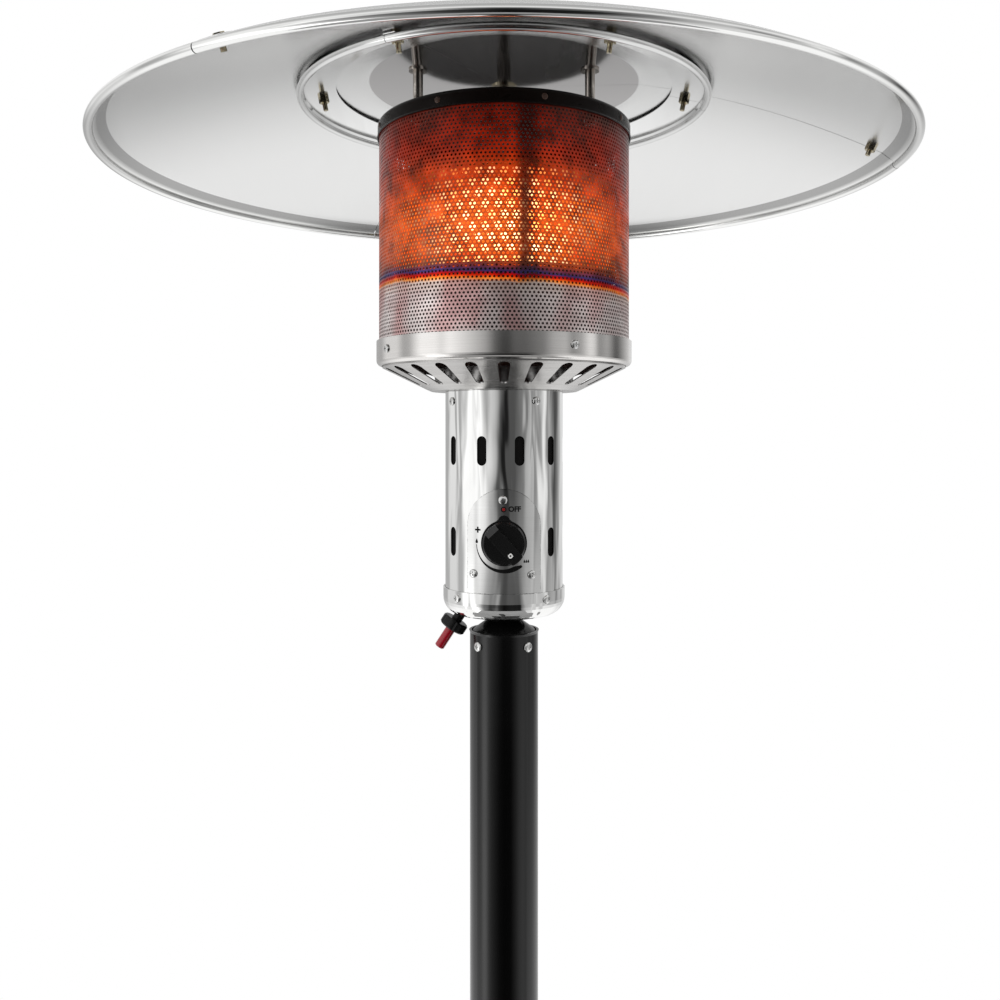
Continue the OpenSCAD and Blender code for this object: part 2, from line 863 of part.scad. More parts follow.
module at_post_screws(r) {
    for (k = [0:3]) on_face(post_screw_a + 90 * k, r, post_screw_z) children();
}

// Bottle housing: one shell with a sloping top, and the collar that slides on the post
housing_hem_w = 8;
housing_path = [
    [housing_r - housing_hem_w, housing_z0], [housing_r, housing_z0], [housing_r, housing_shoulder],
    [collar_flange_r, housing_top], [collar_boss_r + slip, housing_top]
];

module tank_housing() {
    color("#0f0f10") turned(sheet(housing_path, housing_wall));
}

module housing_collar() {
    boss_down = 8;
    edge = 4;
    color("#101010") turned([
        [collar_bore_r, housing_top - boss_down], [collar_boss_r, housing_top - boss_down],
        [collar_boss_r, housing_top], [collar_flange_r, housing_top], [collar_flange_r, housing_top + edge],
        [collar_boss_r - edge, housing_top + collar_h], [collar_bore_r, housing_top + collar_h]
    ]);
}

// Gas line in the post
inlet_thread_r = 7.94;
inlet_thread_len = 18;
inlet_hex_h = 15;
inlet_hex_r = 12;
inlet_nose_h = 5;
inlet_nose_r0 = 4.6;
inlet_nose_r1 = 6.8;
inlet_neck_h = 16;
inlet_bore_r = 2.6;
inlet_low_z = socket_z - inlet_hex_h - inlet_thread_len - inlet_nose_h;
pipe_seat_up = 2;
pipe_seat_z = socket_z + pipe_seat_up;

module gas_inlet() {
    color("#b08d3c") difference() {
        union() {
            translate([0, 0, socket_z - inlet_hex_h])
                cylinder(r = inlet_hex_r, h = inlet_hex_h - weld, $fn = 6);
            translate([0, 0, inlet_low_z + inlet_nose_h])
                cylinder(r = inlet_thread_r, h = inlet_thread_len + weld);
            translate([0, 0, inlet_low_z])
                cylinder(r1 = inlet_nose_r0, r2 = inlet_nose_r1, h = inlet_nose_h + weld);
            translate([0, 0, socket_z - inlet_hex_h / 2])
                cylinder(r = inlet_boss_r, h = inlet_neck_h + inlet_hex_h / 2);
        }
        translate([0, 0, inlet_low_z - past]) cylinder(r = inlet_bore_r, h = 2 * (socket_z - inlet_low_z));
        translate([0, 0, pipe_seat_z]) cylinder(r = pipe_r + run, h = inlet_neck_h);
    }
}

module supply_pipe() {
    low = pipe_seat_z + apart;
    color("#8d6a3a") translate([0, 0, low])
        tube(pipe_r, pipe_r - pipe_wall, valve_low_z + pipe_socket - pipe_gap - low);
}

// Bell-shaped bracket between the post and the cup
bell_path = concat(
    [[sleeve_r, post_top - bell_sleeve_h]],
    arc(sleeve_r - bell_shoulder_r, post_top - bell_shoulder_down, bell_shoulder_r, 0, 90 - bell_slope, 4),
    arc(bell_neck_r + bell_fillet_r, bell_neck_z, bell_fillet_r, 270 - bell_slope, 180, 4),
    [[bell_neck_r, cup_z - bell_ring_t / 2]]);

module at_ring_screws() {
    for (k = [0:2]) rotate([0, 0, third * k]) translate([ring_screw_r, 0, 0]) children();
}

module post_bracket() {
    color("#141414") difference() {
        union() {
            turned(sheet(bell_path, bell_t));
            translate([0, 0, cup_z - bell_ring_t]) tube(bell_ring_r, bell_neck_r - bell_t, bell_ring_t);
        }
        at_post_screws(sleeve_r) screw_hole();
        at_ring_screws() translate([0, 0, cup_z]) screw_hole();
    }
}

module post_screws() {
    color("silver") at_post_screws(post_r + run)
        pan_screw(post_screw_head_r, post_screw_head_h, screw_r, post_wall + slip + bell_t + screw_tail);
}

// Cup and control tube
cup_path = concat(
    [[bell_neck_r - bell_t, cup_z]],
    arc(cup_r - cup_corner_r, cup_z + cup_corner_r, cup_corner_r, -90, 0, 9),
    [[cup_r, cup_rim]]);

module at_cup_screws(r) {
    for (k = [0:3]) on_face(cup_screw_a + 90 * k, r, cup_screw_z) children();
}

module at_top_screws(r) {
    for (k = [0:3]) on_face(top_screw_a + 90 * k, r, top_screw_z) children();
}

module control_cup() {
    color("#d8d6d2") difference() {
        turned(sheet(cup_path, cup_wall));
        on_igniter() translate([0, 0, -igniter_neck_len])
            cylinder(r = igniter_neck_r + hole_fit, h = igniter_neck_len + igniter_body_s);
        at_cup_screws(tube_in_r) screw_hole();
        at_ring_screws() translate([0, 0, cup_z]) screw_hole();
    }
}

// One air slot, cut outwards through the tube's wall
module air_slot(face_a, z) {
    on_face(face_a, tube_in_r - tube_wall, z) linear_extrude(height = 4 * tube_wall) {
        square([slot_w, slot_h - slot_w], center = true);
        for (side = [-1, 1]) translate([0, side * (slot_h - slot_w) / 2]) circle(r = slot_w / 2);
    }
}

// The dial plate covers the slots within this angle of the front
slot_blind_a = 45;
function slot_a(k) = slot_phase + slot_pitch * k;

module control_tube() {
    color("#d8d6d2") difference() {
        translate([0, 0, tube_z0]) tube(tube_r, tube_in_r, tube_top - slip - tube_z0);
        for (k = [0:slot_count - 1]) air_slot(slot_a(k), slot_high_z);
        // The lower row leaves out the columns that the dial plate covers
        for (k = [0:slot_count - 1])
            if (cos(slot_a(k)) < cos(slot_blind_a)) air_slot(slot_a(k), slot_low_z);
        at_cup_screws(tube_in_r) screw_hole();
        at_top_screws(tube_in_r) screw_hole();
        at_dial_screws(tube_in_r) screw_hole();
        spindle_hole();
    }
}

module head_screws() {
    color("silver") {
        at_cup_screws(cup_r + run) pan_screw(screw_head_r, screw_head_h, screw_r, screw_len);
        at_top_screws(tube_r + run) pan_screw(screw_head_r, screw_head_h, screw_r, screw_len);
        at_ring_screws() translate([0, 0, cup_z + cup_wall + run])
            pan_screw(screw_head_r, screw_head_h, screw_r, screw_len);
    }
}

// Hole for the spindle, through the tube's wall and all that is on it at the front
module spindle_hole() {
    on_face(0, valve_plate_y, knob_z) cylinder(r = spindle_hole_r, h = 2 * bezel_y);
}

// Dial plate: an arched sheet wrapped on the tube, straight down to the cup's rim
// Each screw's face angle and its height above the knob's axis
dial_screw_places = [[-1, 42], [-29, -31], [26, -32]];

module at_dial_screws(r) {
    for (place = dial_screw_places) on_face(place[0], r, knob_z + place[1]) children();
}

module dial_plate() {
    color("#e2e0dc") difference() {
        translate([0, 0, dial_z0]) tube(dial_r, dial_in_r, tube_h - slip);
        difference() {
            translate([-2 * tube_r, -2 * tube_r, dial_z0 - past])
                cube([4 * tube_r, 4 * tube_r, tube_h + 2 * past]);
            rotate([90, 0, 0]) linear_extrude(height = 2 * tube_r) {
                translate([0, dial_arch_z]) circle(r = dial_w / 2);
                translate([-dial_w / 2, dial_z0 - past]) square([dial_w, dial_arch_z - dial_z0 + past]);
            }
        }
        at_dial_screws(tube_in_r) screw_hole();
        spindle_hole();
    }
}

module dial_screws() {
    color("silver") at_dial_screws(dial_r + run) pan_screw(screw_head_r, screw_head_h, screw_r, screw_len);
}

// Fixed ring behind the knob, with a tab that points at the off mark
// One straight side of the ring's rounded lobe, just inside the two arcs that it joins
function lobe_side(s) =
    let (d = [sin(bezel_lobe_a), cos(bezel_lobe_a)])
    let (low = (bezel_r - past) * d, high = (bezel_lobe_r - past) * d + [0, bezel_lobe_up])
    s < 0 ? [[-low[0], low[1]], [-high[0], high[1]]] : [high, low];

module knob_bezel() {
    color("#0b0b0b") difference() {
        on_face(0, 0, knob_z) union() {
            cylinder(r = bezel_r, h = bezel_y);
            linear_extrude(height = bezel_y - bezel_lobe_in) {
                translate([0, bezel_lobe_up]) circle(r = bezel_lobe_r);
                polygon([for (s = [-1, 1]) each lobe_side(s)]);
            }
        }
        translate([0, 0, knob_z - 2 * bezel_r]) cylinder(r = dial_r + run, h = 4 * bezel_r);
        spindle_hole();
    }
}

// Knob: a skirt, a grip bar across it with one end sloped, and a bore for the spindle
module knob() {
    color("#0a0a0a") on_face(0, knob_y, knob_z) difference() {
        union() {
            turned([[0, 0], [knob_r, 0], [knob_r, knob_skirt_h - knob_edge],
                [knob_r - knob_edge, knob_skirt_h], [0, knob_skirt_h]]);
            cylinder(r = knob_r - knob_step_in, h = knob_skirt_h + knob_step_h);
            intersection() {
                cylinder(r = knob_r - grip_in, h = knob_h);
                rotate([0, 0, knob_point_a]) translate([-knob_r, -grip_w / 2, 0])
                    cube([2 * knob_r, grip_w, knob_h]);
            }
        }
        rotate([0, 0, knob_point_a]) translate([-knob_r, 0, knob_h - knob_face_t]) rotate([0, -grip_slope, 0])
            translate([-knob_r, -knob_r, 0]) cube([2 * knob_r, 2 * knob_r, knob_r]);
        translate([0, 0, -past]) cylinder(r = spindle_r + run, h = knob_h - knob_face_t + past);
    }
}

// Valve and its plate inside the tube
module valve_bracket() {
    color("#9b9b98") difference() {
        union() {
            translate([-valve_half, -valve_plate_y, valve_plate_z])
                cube([2 * valve_half, valve_plate_t, valve_plate_h]);
            for (x = [-valve_half, valve_half - valve_plate_t])
                translate([x, -valve_plate_y, valve_plate_z])
                    cube([valve_plate_t, valve_flange, valve_plate_h]);
        }
        on_face(0, valve_back_y - past, knob_z)
            cylinder(r = valve_neck_r + hole_fit, h = valve_plate_t + 2 * past);
    }
}

module valve_body() {
    color("#b59a54") difference() {
        union() {
            on_face(0, -valve_tail, knob_z) cylinder(r = valve_r, h = valve_back_y + valve_tail - run);
            on_face(0, valve_back_y - past, knob_z)
                cylinder(r = valve_neck_r, h = past + valve_plate_t + valve_neck_len);
            translate([0, 0, valve_low_z]) cylinder(r = boss_r, h = valve_high_z - valve_low_z);
        }
        // Bores of the spindle, the push rod, the pipe and the jet
        on_face(0, spindle_y0 - knob_travel - apart, knob_z) cylinder(r = spindle_r + run, h = 2 * tube_r);
        on_face(0, spindle_y0 - pushrod_len - knob_travel - 2 * apart, knob_z)
            cylinder(r = pushrod_r + run, h = tube_r);
        translate([0, 0, valve_low_z - past]) cylinder(r = pipe_r + run, h = pipe_socket + past);
        translate([0, 0, valve_high_z - jet_socket]) cylinder(r = jet_r + run, h = jet_socket + past);
    }
}

module valve_pushrod() {
    color("silver") on_face(0, spindle_y0 - pushrod_len - run, knob_z)
        cylinder(r = pushrod_r, h = pushrod_len);
}

module valve_spindle() {
    color("silver") on_face(0, spindle_y0, knob_z)
        cylinder(r = spindle_r, h = knob_y + knob_h - knob_face_t - apart - spindle_y0);
}

module injector() {
    color("#b59a54") translate([0, 0, valve_high_z]) difference() {
        union() {
            translate([0, 0, apart - jet_socket]) cylinder(r = jet_r, h = jet_socket);
            cylinder(r = jet_hex_r, h = injector_hex_h, $fn = 6);
            cylinder(r = jet_r, h = injector_h);
        }
        translate([0, 0, -jet_socket - past]) cylinder(r = jet_bore_r, h = 2 * (jet_socket + injector_h));
    }
}

module mixing_tube() {
    mixing_h = drum_z + mixing_in_drum - mixing_z0;
    color("#a9a6a0") difference() {
        union() {
            translate([0, 0, mixing_z0]) cylinder(r = mixing_r, h = mixing_h);
            translate([0, 0, pan_z + pan_t + run]) cylinder(r = mixing_flange_r, h = mixing_flange_t);
            translate([0, 0, drum_z - mixing_bead_t - run]) cylinder(r = mixing_bead_r, h = mixing_bead_t);
        }
        translate([0, 0, mixing_z0 - past]) cylinder(r = mixing_r - mixing_wall, h = mixing_h + 2 * past);
        // Four air holes just over the jet
        for (a = [45:90:315]) rotate([0, 0, a]) translate([0, 0, mixing_z0 + air_hole_up]) rotate([90, 0, 0])
            cylinder(r = air_hole_r, h = 2 * mixing_r);
    }
}

// Routes of the pilot tube, the thermocouple and the electrode's wire: out of the valve's
// left side, up a riser, out over the pan and up to the hood
pilot_points = [
    [-valve_r + 0.1, -20, knob_z + 4], [-30, -20, knob_z + 4],
    at_plan(pilot_riser_r, pilot_plan_a, riser_low_z), at_plan(pilot_riser_r, pilot_plan_a, riser_high_z),
    at_plan(pilot_out_r, pilot_plan_a, riser_high_z + 10), at_plan(pilot_out_r, pilot_plan_a, pilot_z)
];
couple_points = [
    [-valve_r + 0.1, -29, knob_z - 4], [-33, -29, knob_z - 4],
    at_plan(couple_riser_r, couple_plan_a, riser_low_z), at_plan(couple_riser_r, couple_plan_a, riser_high_z),
    at_plan(pilot_out_r, couple_out_a, riser_high_z + 14),
    at_plan(pilot_out_r, couple_out_a, pilot_z + couple_up)
];
electrode_points = [
    at_plan(electrode_riser_r, electrode_plan_a, pan_z + 14),
    at_plan(electrode_riser_r, electrode_plan_a, riser_high_z),
    at_plan(pilot_out_r, electrode_out_a, riser_high_z + 14),
    at_plan(pilot_out_r, electrode_out_a, pilot_z + electrode_up)
];

module pilot_tube() {
    color("#a5814a") pipe(pilot_points, pilot_tube_r);
}

module thermocouple() {
    color("#b6794f") pipe(couple_points, couple_r);
}

module spark_electrode() {
    color("#e9e6df") {
        pipe(electrode_points, wire_r);
        translate(at_plan(electrode_riser_r, electrode_plan_a, electrode_foot_z))
            cylinder(r = electrode_foot_r, h = electrode_foot_h);
    }
}

// Hood over the pilot jet, and the plate that holds the thermocouple tip and the electrode
module pilot_burner() {
    color("#8e8a84") difference() {
        union() {
            translate(at_plan(pilot_out_r, pilot_plan_a, pilot_z + apart)) cylinder(r = hood_r, h = hood_h);
            translate([0, 0, pilot_z + hood_plate_up]) rotate([0, 0, pilot_plan_a - hood_plate_a / 2 + 2])
                rotate_extrude(angle = hood_plate_a)
                    translate([pilot_out_r - hood_plate_w / 2, 0]) square([hood_plate_w, hood_plate_t]);
        }
        translate(at_plan(pilot_out_r, couple_out_a, pilot_z)) cylinder(r = couple_r + 2 * run, h = hood_h);
        translate(at_plan(pilot_out_r, electrode_out_a, pilot_z)) cylinder(r = wire_r + 2 * run, h = hood_h);
        translate(at_plan(pilot_out_r, pilot_plan_a, pilot_z - past)) cylinder(r = pilot_jet_r, h = hood_h);
        translate(at_plan(pilot_out_r, pilot_plan_a, pilot_z + hood_floor))
            cylinder(r = hood_in_r, h = hood_h);
    }
}

// The ignition lead, held inside the head: from the igniter's inner end to the foot of
// the electrode. It is swept along its route with eight sides.
lead_sides = 8;
lead_d = 4;
lead_rings = 7;
function igniter_point(s) = [igniter_x + s * sin(igniter_tilt), 0, cup_z + s * cos(igniter_tilt)];
lead_start = igniter_body_s + igniter_body_len + 0.1;
lead_end = at_plan(electrode_riser_r, electrode_plan_a, electrode_foot_z - 0.1);
lead_path = concat(
    [igniter_point(lead_start), igniter_point(lead_start + 6)],
    [[-16, 5, cup_rim + 23], [-19, 12, cup_rim + 32], [-25, 20, cup_rim + 43],
     [-31, 27, cup_rim + 56], [-36, 32, cup_rim + 72]],
    [for (i = [0:lead_rings]) lead_end - [0, 0, (lead_end[2] - cup_rim - 92) * (1 - i / lead_rings)]]);
function along(p, i) = i == 0 ? unit(p[1] - p[0]) :
    i == len(p) - 1 ? unit(p[i] - p[i - 1]) : unit(p[i + 1] - p[i - 1]);
function across(t) = unit(cross(t, [0, 1, 0]));
function ring_of(p, i, r, n) = let (t = along(p, i), u = across(t), v = cross(t, u))
    [for (j = [0:n - 1]) p[i] + r * (cos(360 * j / n) * u + sin(360 * j / n) * v)];

module swept(p, r, n) {
    rings = [for (i = [0:len(p) - 1]) each ring_of(p, i, r, n)];
    last = (len(p) - 1) * n;
    sides = [for (i = [0:len(p) - 2], j = [0:n - 1])
        [i * n + j, (i + 1) * n + j, (i + 1) * n + (j + 1) % n, i * n + (j + 1) % n]];
    polyhedron(points = rings, faces = concat(
        [[for (j = [0:n - 1]) j]], sides, [[for (j = [n - 1:-1:0]) last + j]]), convexity = 6);
}

module ignition_lead() {
    color("#b5b3ad") swept(lead_path, lead_d / 2, lead_sides);
}

// Sealed switch that shuts the gas off if the heater tips, flat on the back of the plate
switch_gap = 3;
switch_depth = 16;
switch_h = 23;
switch_up = 6;

module tilt_switch() {
    color("#e7e5df") translate([valve_r + switch_gap, -valve_back_y + run, knob_z + switch_up])
        cube([valve_half - valve_r - 2 * switch_gap, switch_depth, switch_h]);
}

// Igniter: a sealed body with a hollow threaded neck through the cup, and its nut. The
// button's cap slides into the nut and its stem into the neck.
module igniter_body() {
    color("#3a1512") on_igniter() difference() {
        union() {
            translate([0, 0, igniter_body_s]) cylinder(r = igniter_body_r, h = igniter_body_len);
            translate([0, 0, -igniter_neck_len])
                cylinder(r = igniter_neck_r, h = igniter_neck_len + igniter_body_s + past);
        }
        translate([0, 0, -igniter_neck_len - past]) cylinder(r = button_stem_r + run,
            h = igniter_neck_len + button_stem_in + button_travel + 2 * past);
    }
}

module igniter_nut() {
    bore_r = max(igniter_neck_r, button_r) + hole_fit;
    nut_r = igniter_nut_d / 2;
    color("#0d0d0d") on_igniter() translate([0, 0, -igniter_nut_s - igniter_nut_h]) difference() {
        turned([[bore_r, 0], [nut_r - igniter_nut_edge, 0], [nut_r, igniter_nut_edge],
            [nut_r, igniter_nut_h - igniter_nut_edge], [nut_r - igniter_nut_edge, igniter_nut_h],
            [bore_r, igniter_nut_h]]);
        // Six notches to grip it by
        for (a = [30:60:330]) rotate([0, 0, a]) translate([nut_r + notch_r * 0.6, 0, -past])
            cylinder(r = notch_r, h = igniter_nut_h + 2 * past);
    }
}

module igniter_button() {
    cap_len = igniter_nut_s + igniter_nut_h + button_len - button_end_s;
    color("#b01024") on_igniter() translate([0, 0, -button_end_s - cap_len])
        turned([[0, 0], [button_r - button_edge, 0], [button_r, button_edge], [button_r, cap_len],
            [button_stem_r, cap_len], [button_stem_r, cap_len + button_end_s + button_stem_in],
            [0, cap_len + button_end_s + button_stem_in]]);
}

// Slotted pan under the screen
pan_path = [
    [mixing_r + slip, pan_z], [pan_plate_r, pan_z], [pan_plate_r + pan_bend_w, pan_z + pan_bend_h],
    [pan_rim_r, pan_rim_z], [pan_rim_r, pan_flange_z], [screen_r + pan_lip_w, pan_flange_z]
];

module pan_slot() {
    translate([pan_slot_r0, 0]) circle(r = pan_slot_half0);
    translate([pan_slot_r1, 0]) circle(r = pan_slot_half1);
    polygon([[pan_slot_r0, -pan_slot_half0], [pan_slot_r1, -pan_slot_half1],
        [pan_slot_r1, pan_slot_half1], [pan_slot_r0, pan_slot_half0]]);
}

// A hole in the pan for something that rises through it
module riser_hole(r, a, fit_r) {
    translate(at_plan(r, a, pan_z - past)) cylinder(r = fit_r, h = pan_t + 2 * past);
}

module burner_pan() {
    color("#c9c6c1") difference() {
        union() {
            turned(sheet(pan_path, pan_t));
            translate([0, 0, pan_z - pan_skirt_h])
                tube(pan_skirt_r, pan_skirt_r - pan_t, pan_skirt_h + pan_t / 2);
            // Guard ring behind the slots
            translate([0, 0, pan_z + pan_t / 2]) tube(pan_guard_r, pan_guard_r - pan_t, pan_guard_h);
        }
        for (k = [0:pan_slot_count - 1])
            rotate([0, 0, 360 / pan_slot_count * k]) translate([0, 0, pan_z + pan_t + past])
                linear_extrude(height = pan_rise) pan_slot();
        at_top_screws(tube_in_r) screw_hole();
        riser_hole(pilot_riser_r, pilot_plan_a, pilot_tube_r + pass_fit);
        riser_hole(couple_riser_r, couple_plan_a, couple_r + pass_fit);
        riser_hole(electrode_riser_r, electrode_plan_a, electrode_foot_r + hole_fit);
    }
}

// Collar round the foot of the screen, curled in under the pan's rim
band_path = concat(
    arc(band_r - band_corner_r, band_z0 + band_corner_r, band_corner_r, -90, 0, 6),
    [[band_r, band_top]]);

module at_collar_screws(r) {
    for (k = [0:3]) on_face(collar_screw_a + 90 * k, r, collar_screw_z) children();
}

module screen_collar() {
    color("#cfccc7") difference() {
        turned(sheet(band_path, pan_t));
        at_collar_screws(screen_r) screw_hole();
    }
}

module collar_screws() {
    color("silver") at_collar_screws(band_r + run) pan_screw(screw_head_r, screw_head_h, screw_r, screw_len);
}

module burner_drum() {
    color("#d24a14") turned(sheet([
        [mixing_r + slip, drum_z], [drum_r, drum_z], [drum_r, drum_z + drum_h], [0, drum_z + drum_h]
    ], drum_t));
}

module emitter_screen() {
    color("#b0562e") difference() {
        union() {
            translate([0, 0, screen_z0]) tube(screen_r, screen_r - screen_t, screen_z1 - screen_z0);
            translate([0, 0, liner_z0]) tube(liner_r, liner_r - liner_t, liner_z1 - liner_z0);
        }
        at_collar_screws(screen_r) screw_hole();
        at_rivets(screen_r) translate([0, 0, -drill_in]) cylinder(r = screw_r, h = drill_len);
    }
}

// Cap over the screen
cap_path = concat(
    [[cap_r + cap_flare, cap_z], [cap_r, cap_z + cap_flare_h]],
    arc(cap_r - cap_corner_r, cap_top - cap_corner_r, cap_corner_r, 0, 90, 5),
    [[0, cap_top]]);

module at_rivets(r) {
    for (k = [0:rivet_count - 1]) on_face(rivet_a + 360 / rivet_count * k, r, rivet_z) children();
}

module screen_cap() {
    color("#141312") difference() {
        turned(sheet(cap_path, pan_t));
        at_rivets(screen_r) translate([0, 0, -drill_in]) cylinder(r = screw_r, h = drill_len);
        at_studs() translate([0, 0, cap_top - pan_t - past])
            cylinder(r = stud_r + hole_fit, h = pan_t + 2 * past);
    }
}

module cap_rivets() {
    color("#2a2826") at_rivets(cap_r + run) {
        turned([[0, 0], [rivet_r, 0], [rivet_r * 0.7, rivet_edge_h], [0, rivet_h]]);
        translate([0, 0, -rivet_len]) cylinder(r = screw_r - run, h = rivet_len + weld);
    }
}

// Studs that carry the reflector on the cap
module reflector_studs() {
    low = cap_top - pan_t - stud_below;
    color("silver") at_studs() translate([0, 0, low])
        cylinder(r = stud_r, h = dome_z + dome_t + washer_h + nut_h + stud_above - low);
}

module stud_nuts() {
    color("silver") at_studs() {
        // Nut under the cap, then washers under and over the reflector, then the top nut
        translate([0, 0, cap_top - pan_t - nut_h - run]) stud_nut(nut_r, nut_h, 6);
        translate([0, 0, cap_top + run]) stud_nut(nut_r, nut_h, 6);
        translate([0, 0, dome_z - washer_h]) stud_nut(washer_r, washer_h, $fn);
        translate([0, 0, dome_z + 2 * dome_t + lap]) stud_nut(washer_r, washer_h, $fn);
        translate([0, 0, dome_z + 2 * dome_t + lap + washer_h]) stud_nut(nut_r, nut_h, 6);
    }
}

module stud_nut(r, h, sides) {
    difference() {
        cylinder(r = r, h = h, $fn = sides);
        translate([0, 0, -past]) cylinder(r = stud_r + run, h = h + 2 * past);
    }
}

// Reflector panels, each a third of the dome, lapped over the next at its first edge
dome_slope = [for (i = [0:slope_steps]) let (r = dome_disc_r + (shoulder_r - dome_disc_r) * i / slope_steps)
    [r, dome_under(r)]];
bead_x = dome_r - bead_r;
bead_z = dome_z - dome_fall - skirt_fall + bead_r;
dome_path = concat([[dome_hub_r, dome_z]], dome_slope, [[bead_x - past, bead_z + past]]);
dome_hold_path = concat([[dome_hub_r + hold_in, dome_z]], dome_slope);
dome_lap_path = concat([[dome_hub_r, dome_z]], dome_slope, [[bead_x - bead_r - 2, bead_z + bead_r + 1.5]]);

// A sheet of one panel: its own third, the lap over its neighbour, and the joggle that
// joins the two
module lapped_third(k, first_a, path, lap_path, hold_path, t) {
    rotate([0, 0, first_a + butt_a + third * k]) {
        rotate_extrude(angle = third - panel_gap_a) polygon(sheet(path, t));
        rotate([0, 0, hold_a / 4]) rotate_extrude(angle = hold_a / 2)
            polygon(layer(hold_path, t / 2, t + lap + t / 2));
        rotate([0, 0, -lap_a]) rotate_extrude(angle = lap_a + hold_a)
            polygon(layer(lap_path, t + lap, 2 * t + lap));
    }
}

module rolled_third(k, first_a, x, z, r) {
    rotate([0, 0, first_a + butt_a + third * k])
        rotate_extrude(angle = third - panel_gap_a) translate([x, z]) circle(r = r);
}

// Seam bolts stand square to the slope
seam_slope = atan((dome_under(seam_bolt_r - 1) - dome_under(seam_bolt_r + 1)) / 2);

module at_ring_slope() {
    translate([ring_bolt_r, 0, dome_under(ring_bolt_r)]) rotate([0, ring_slope, 0]) children();
}

module at_seam_bolts() {
    for (k = [0:2]) rotate([0, 0, seam_a + third * k])
        translate([seam_bolt_r, 0, dome_under(seam_bolt_r)]) rotate([0, seam_slope, 0]) children();
}

module at_ring_bolts() {
    for (k = [0:ring_bolt_count - 1])
        rotate([0, 0, ring_seam_a + 360 / ring_bolt_count * k]) at_ring_slope() children();
}

module dome_panel(k) {
    color("#d9d9d8") difference() {
        union() {
            lapped_third(k, seam_a, dome_path, dome_lap_path, dome_hold_path, dome_t);
            rolled_third(k, seam_a, bead_x, bead_z, bead_r);
        }
        at_studs() translate([0, 0, dome_z - drill_in]) cylinder(r = stud_r + hole_fit, h = drill_len);
        at_ring_bolts() translate([0, 0, -drill_in]) cylinder(r = small_hole_r, h = drill_len);
        at_seam_bolts() translate([0, 0, -drill_in]) cylinder(r = small_hole_r, h = drill_len);
    }
}

module seam_bolts() {
    color("#c9c3a4") {
        at_seam_bolts() translate([0, 0, 2 * dome_t + lap + 3 * run])
            small_bolt(2 * dome_t + lap + 6 * run, seam_bolt_tail);
        hub_plug();
    }
}

// Plug that closes the hole where the three panels meet, with a flange under and over them
module hub_plug() {
    sheets = 2 * dome_t + lap;
    translate([0, 0, dome_z - run - hub_flange_h]) {
        cylinder(r = dome_hub_r + hub_flange_w, h = hub_flange_h);
        cylinder(r = dome_hub_r - hub_plug_in, h = sheets + 2 * (run + hub_flange_h));
        translate([0, 0, hub_flange_h + sheets + 2 * run])
            cylinder(r = dome_hub_r + hub_flange_w, h = hub_flange_h);
    }
}

// Inner ring panels, hung under the reflector
ring_bead_x = ring_flat_r + ring_bead_r + 0.3;
ring_bead_z = ring_z - ring_bead_r - 1.6;
function ring_line(inset) = [for (r = [ring_hole_r + inset, ring_flat_r - inset]) [r, ring_under(r)]];
ring_tuck = [ring_bead_x - past, ring_bead_z + past];
ring_path = [[ring_hole_r, ring_under(ring_hole_r)], [ring_flat_r, ring_z], ring_tuck];
ring_lap_path = ring_line(hold_in / 2);
ring_hold_path = ring_line(hold_in);

module ring_panel(k) {
    color("#dededc") difference() {
        union() {
            lapped_third(k, ring_seam_a, ring_path, ring_lap_path, ring_hold_path, dome_t);
            rolled_third(k, ring_seam_a, ring_bead_x, ring_bead_z, ring_bead_r);
        }
        at_ring_bolts() translate([0, 0, -drill_in]) cylinder(r = small_hole_r, h = drill_len);
    }
}

// Spacers between the ring and the reflector; the ones on a seam stand on the lap
module ring_spacers() {
    step_a = 360 / ring_bolt_count;
    color("#c9c3a4") for (k = [0:ring_bolt_count - 1]) rotate([0, 0, ring_seam_a + step_a * k]) {
        foot = -ring_drop + dome_t + (k % 2 == 0 ? dome_t + lap : 0) + run;
        at_ring_slope() translate([0, 0, foot]) tube(spacer_r, small_bolt_r + run, -spacer_clear - foot);
    }
}

module ring_bolts() {
    head_z = dome_t + 2 * run;
    color("#c9c3a4") at_ring_bolts() translate([0, 0, head_z])
        small_bolt(head_z + ring_drop + 3 * run, ring_bolt_tail);
}

base_plate();
base_ballast();
wheel_bracket();
axle();
axle_caps();
wheel_left();
wheel_right();
support_leg(0);  // support_leg_1
support_leg(1);  // support_leg_2
support_leg(2);  // support_leg_3
foot_bolts();
socket_bolts();
post_socket();
post();
tank_housing();
housing_collar();
gas_inlet();
supply_pipe();
post_bracket();
post_screws();
control_cup();
control_tube();
head_screws();
dial_plate();
dial_screws();
knob_bezel();
knob();
valve_bracket();
valve_body();
valve_pushrod();
valve_spindle();
injector();
mixing_tube();
pilot_tube();
pilot_burner();
thermocouple();
spark_electrode();
ignition_lead();
tilt_switch();
igniter_body();
igniter_nut();
igniter_button();
burner_pan();
screen_collar();
collar_screws();
burner_drum();
emitter_screen();
screen_cap();
cap_rivets();
reflector_studs();
stud_nuts();
dome_panel(0);  // dome_panel_1
dome_panel(1);  // dome_panel_2
dome_panel(2);  // dome_panel_3
ring_panel(0);  // ring_panel_1
ring_panel(1);  // ring_panel_2
ring_panel(2);  // ring_panel_3
ring_spacers();
ring_bolts();
seam_bolts();
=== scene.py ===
"""Gas mushroom patio heater: finishes, perforated burner pieces, dial marks, studio and camera."""

import logging
import math
from dataclasses import dataclass
from enum import Enum
from typing import Callable, Dict, List, Optional, Sequence, Tuple, Union

import bmesh
import bpy
from mathutils import Matrix, Vector


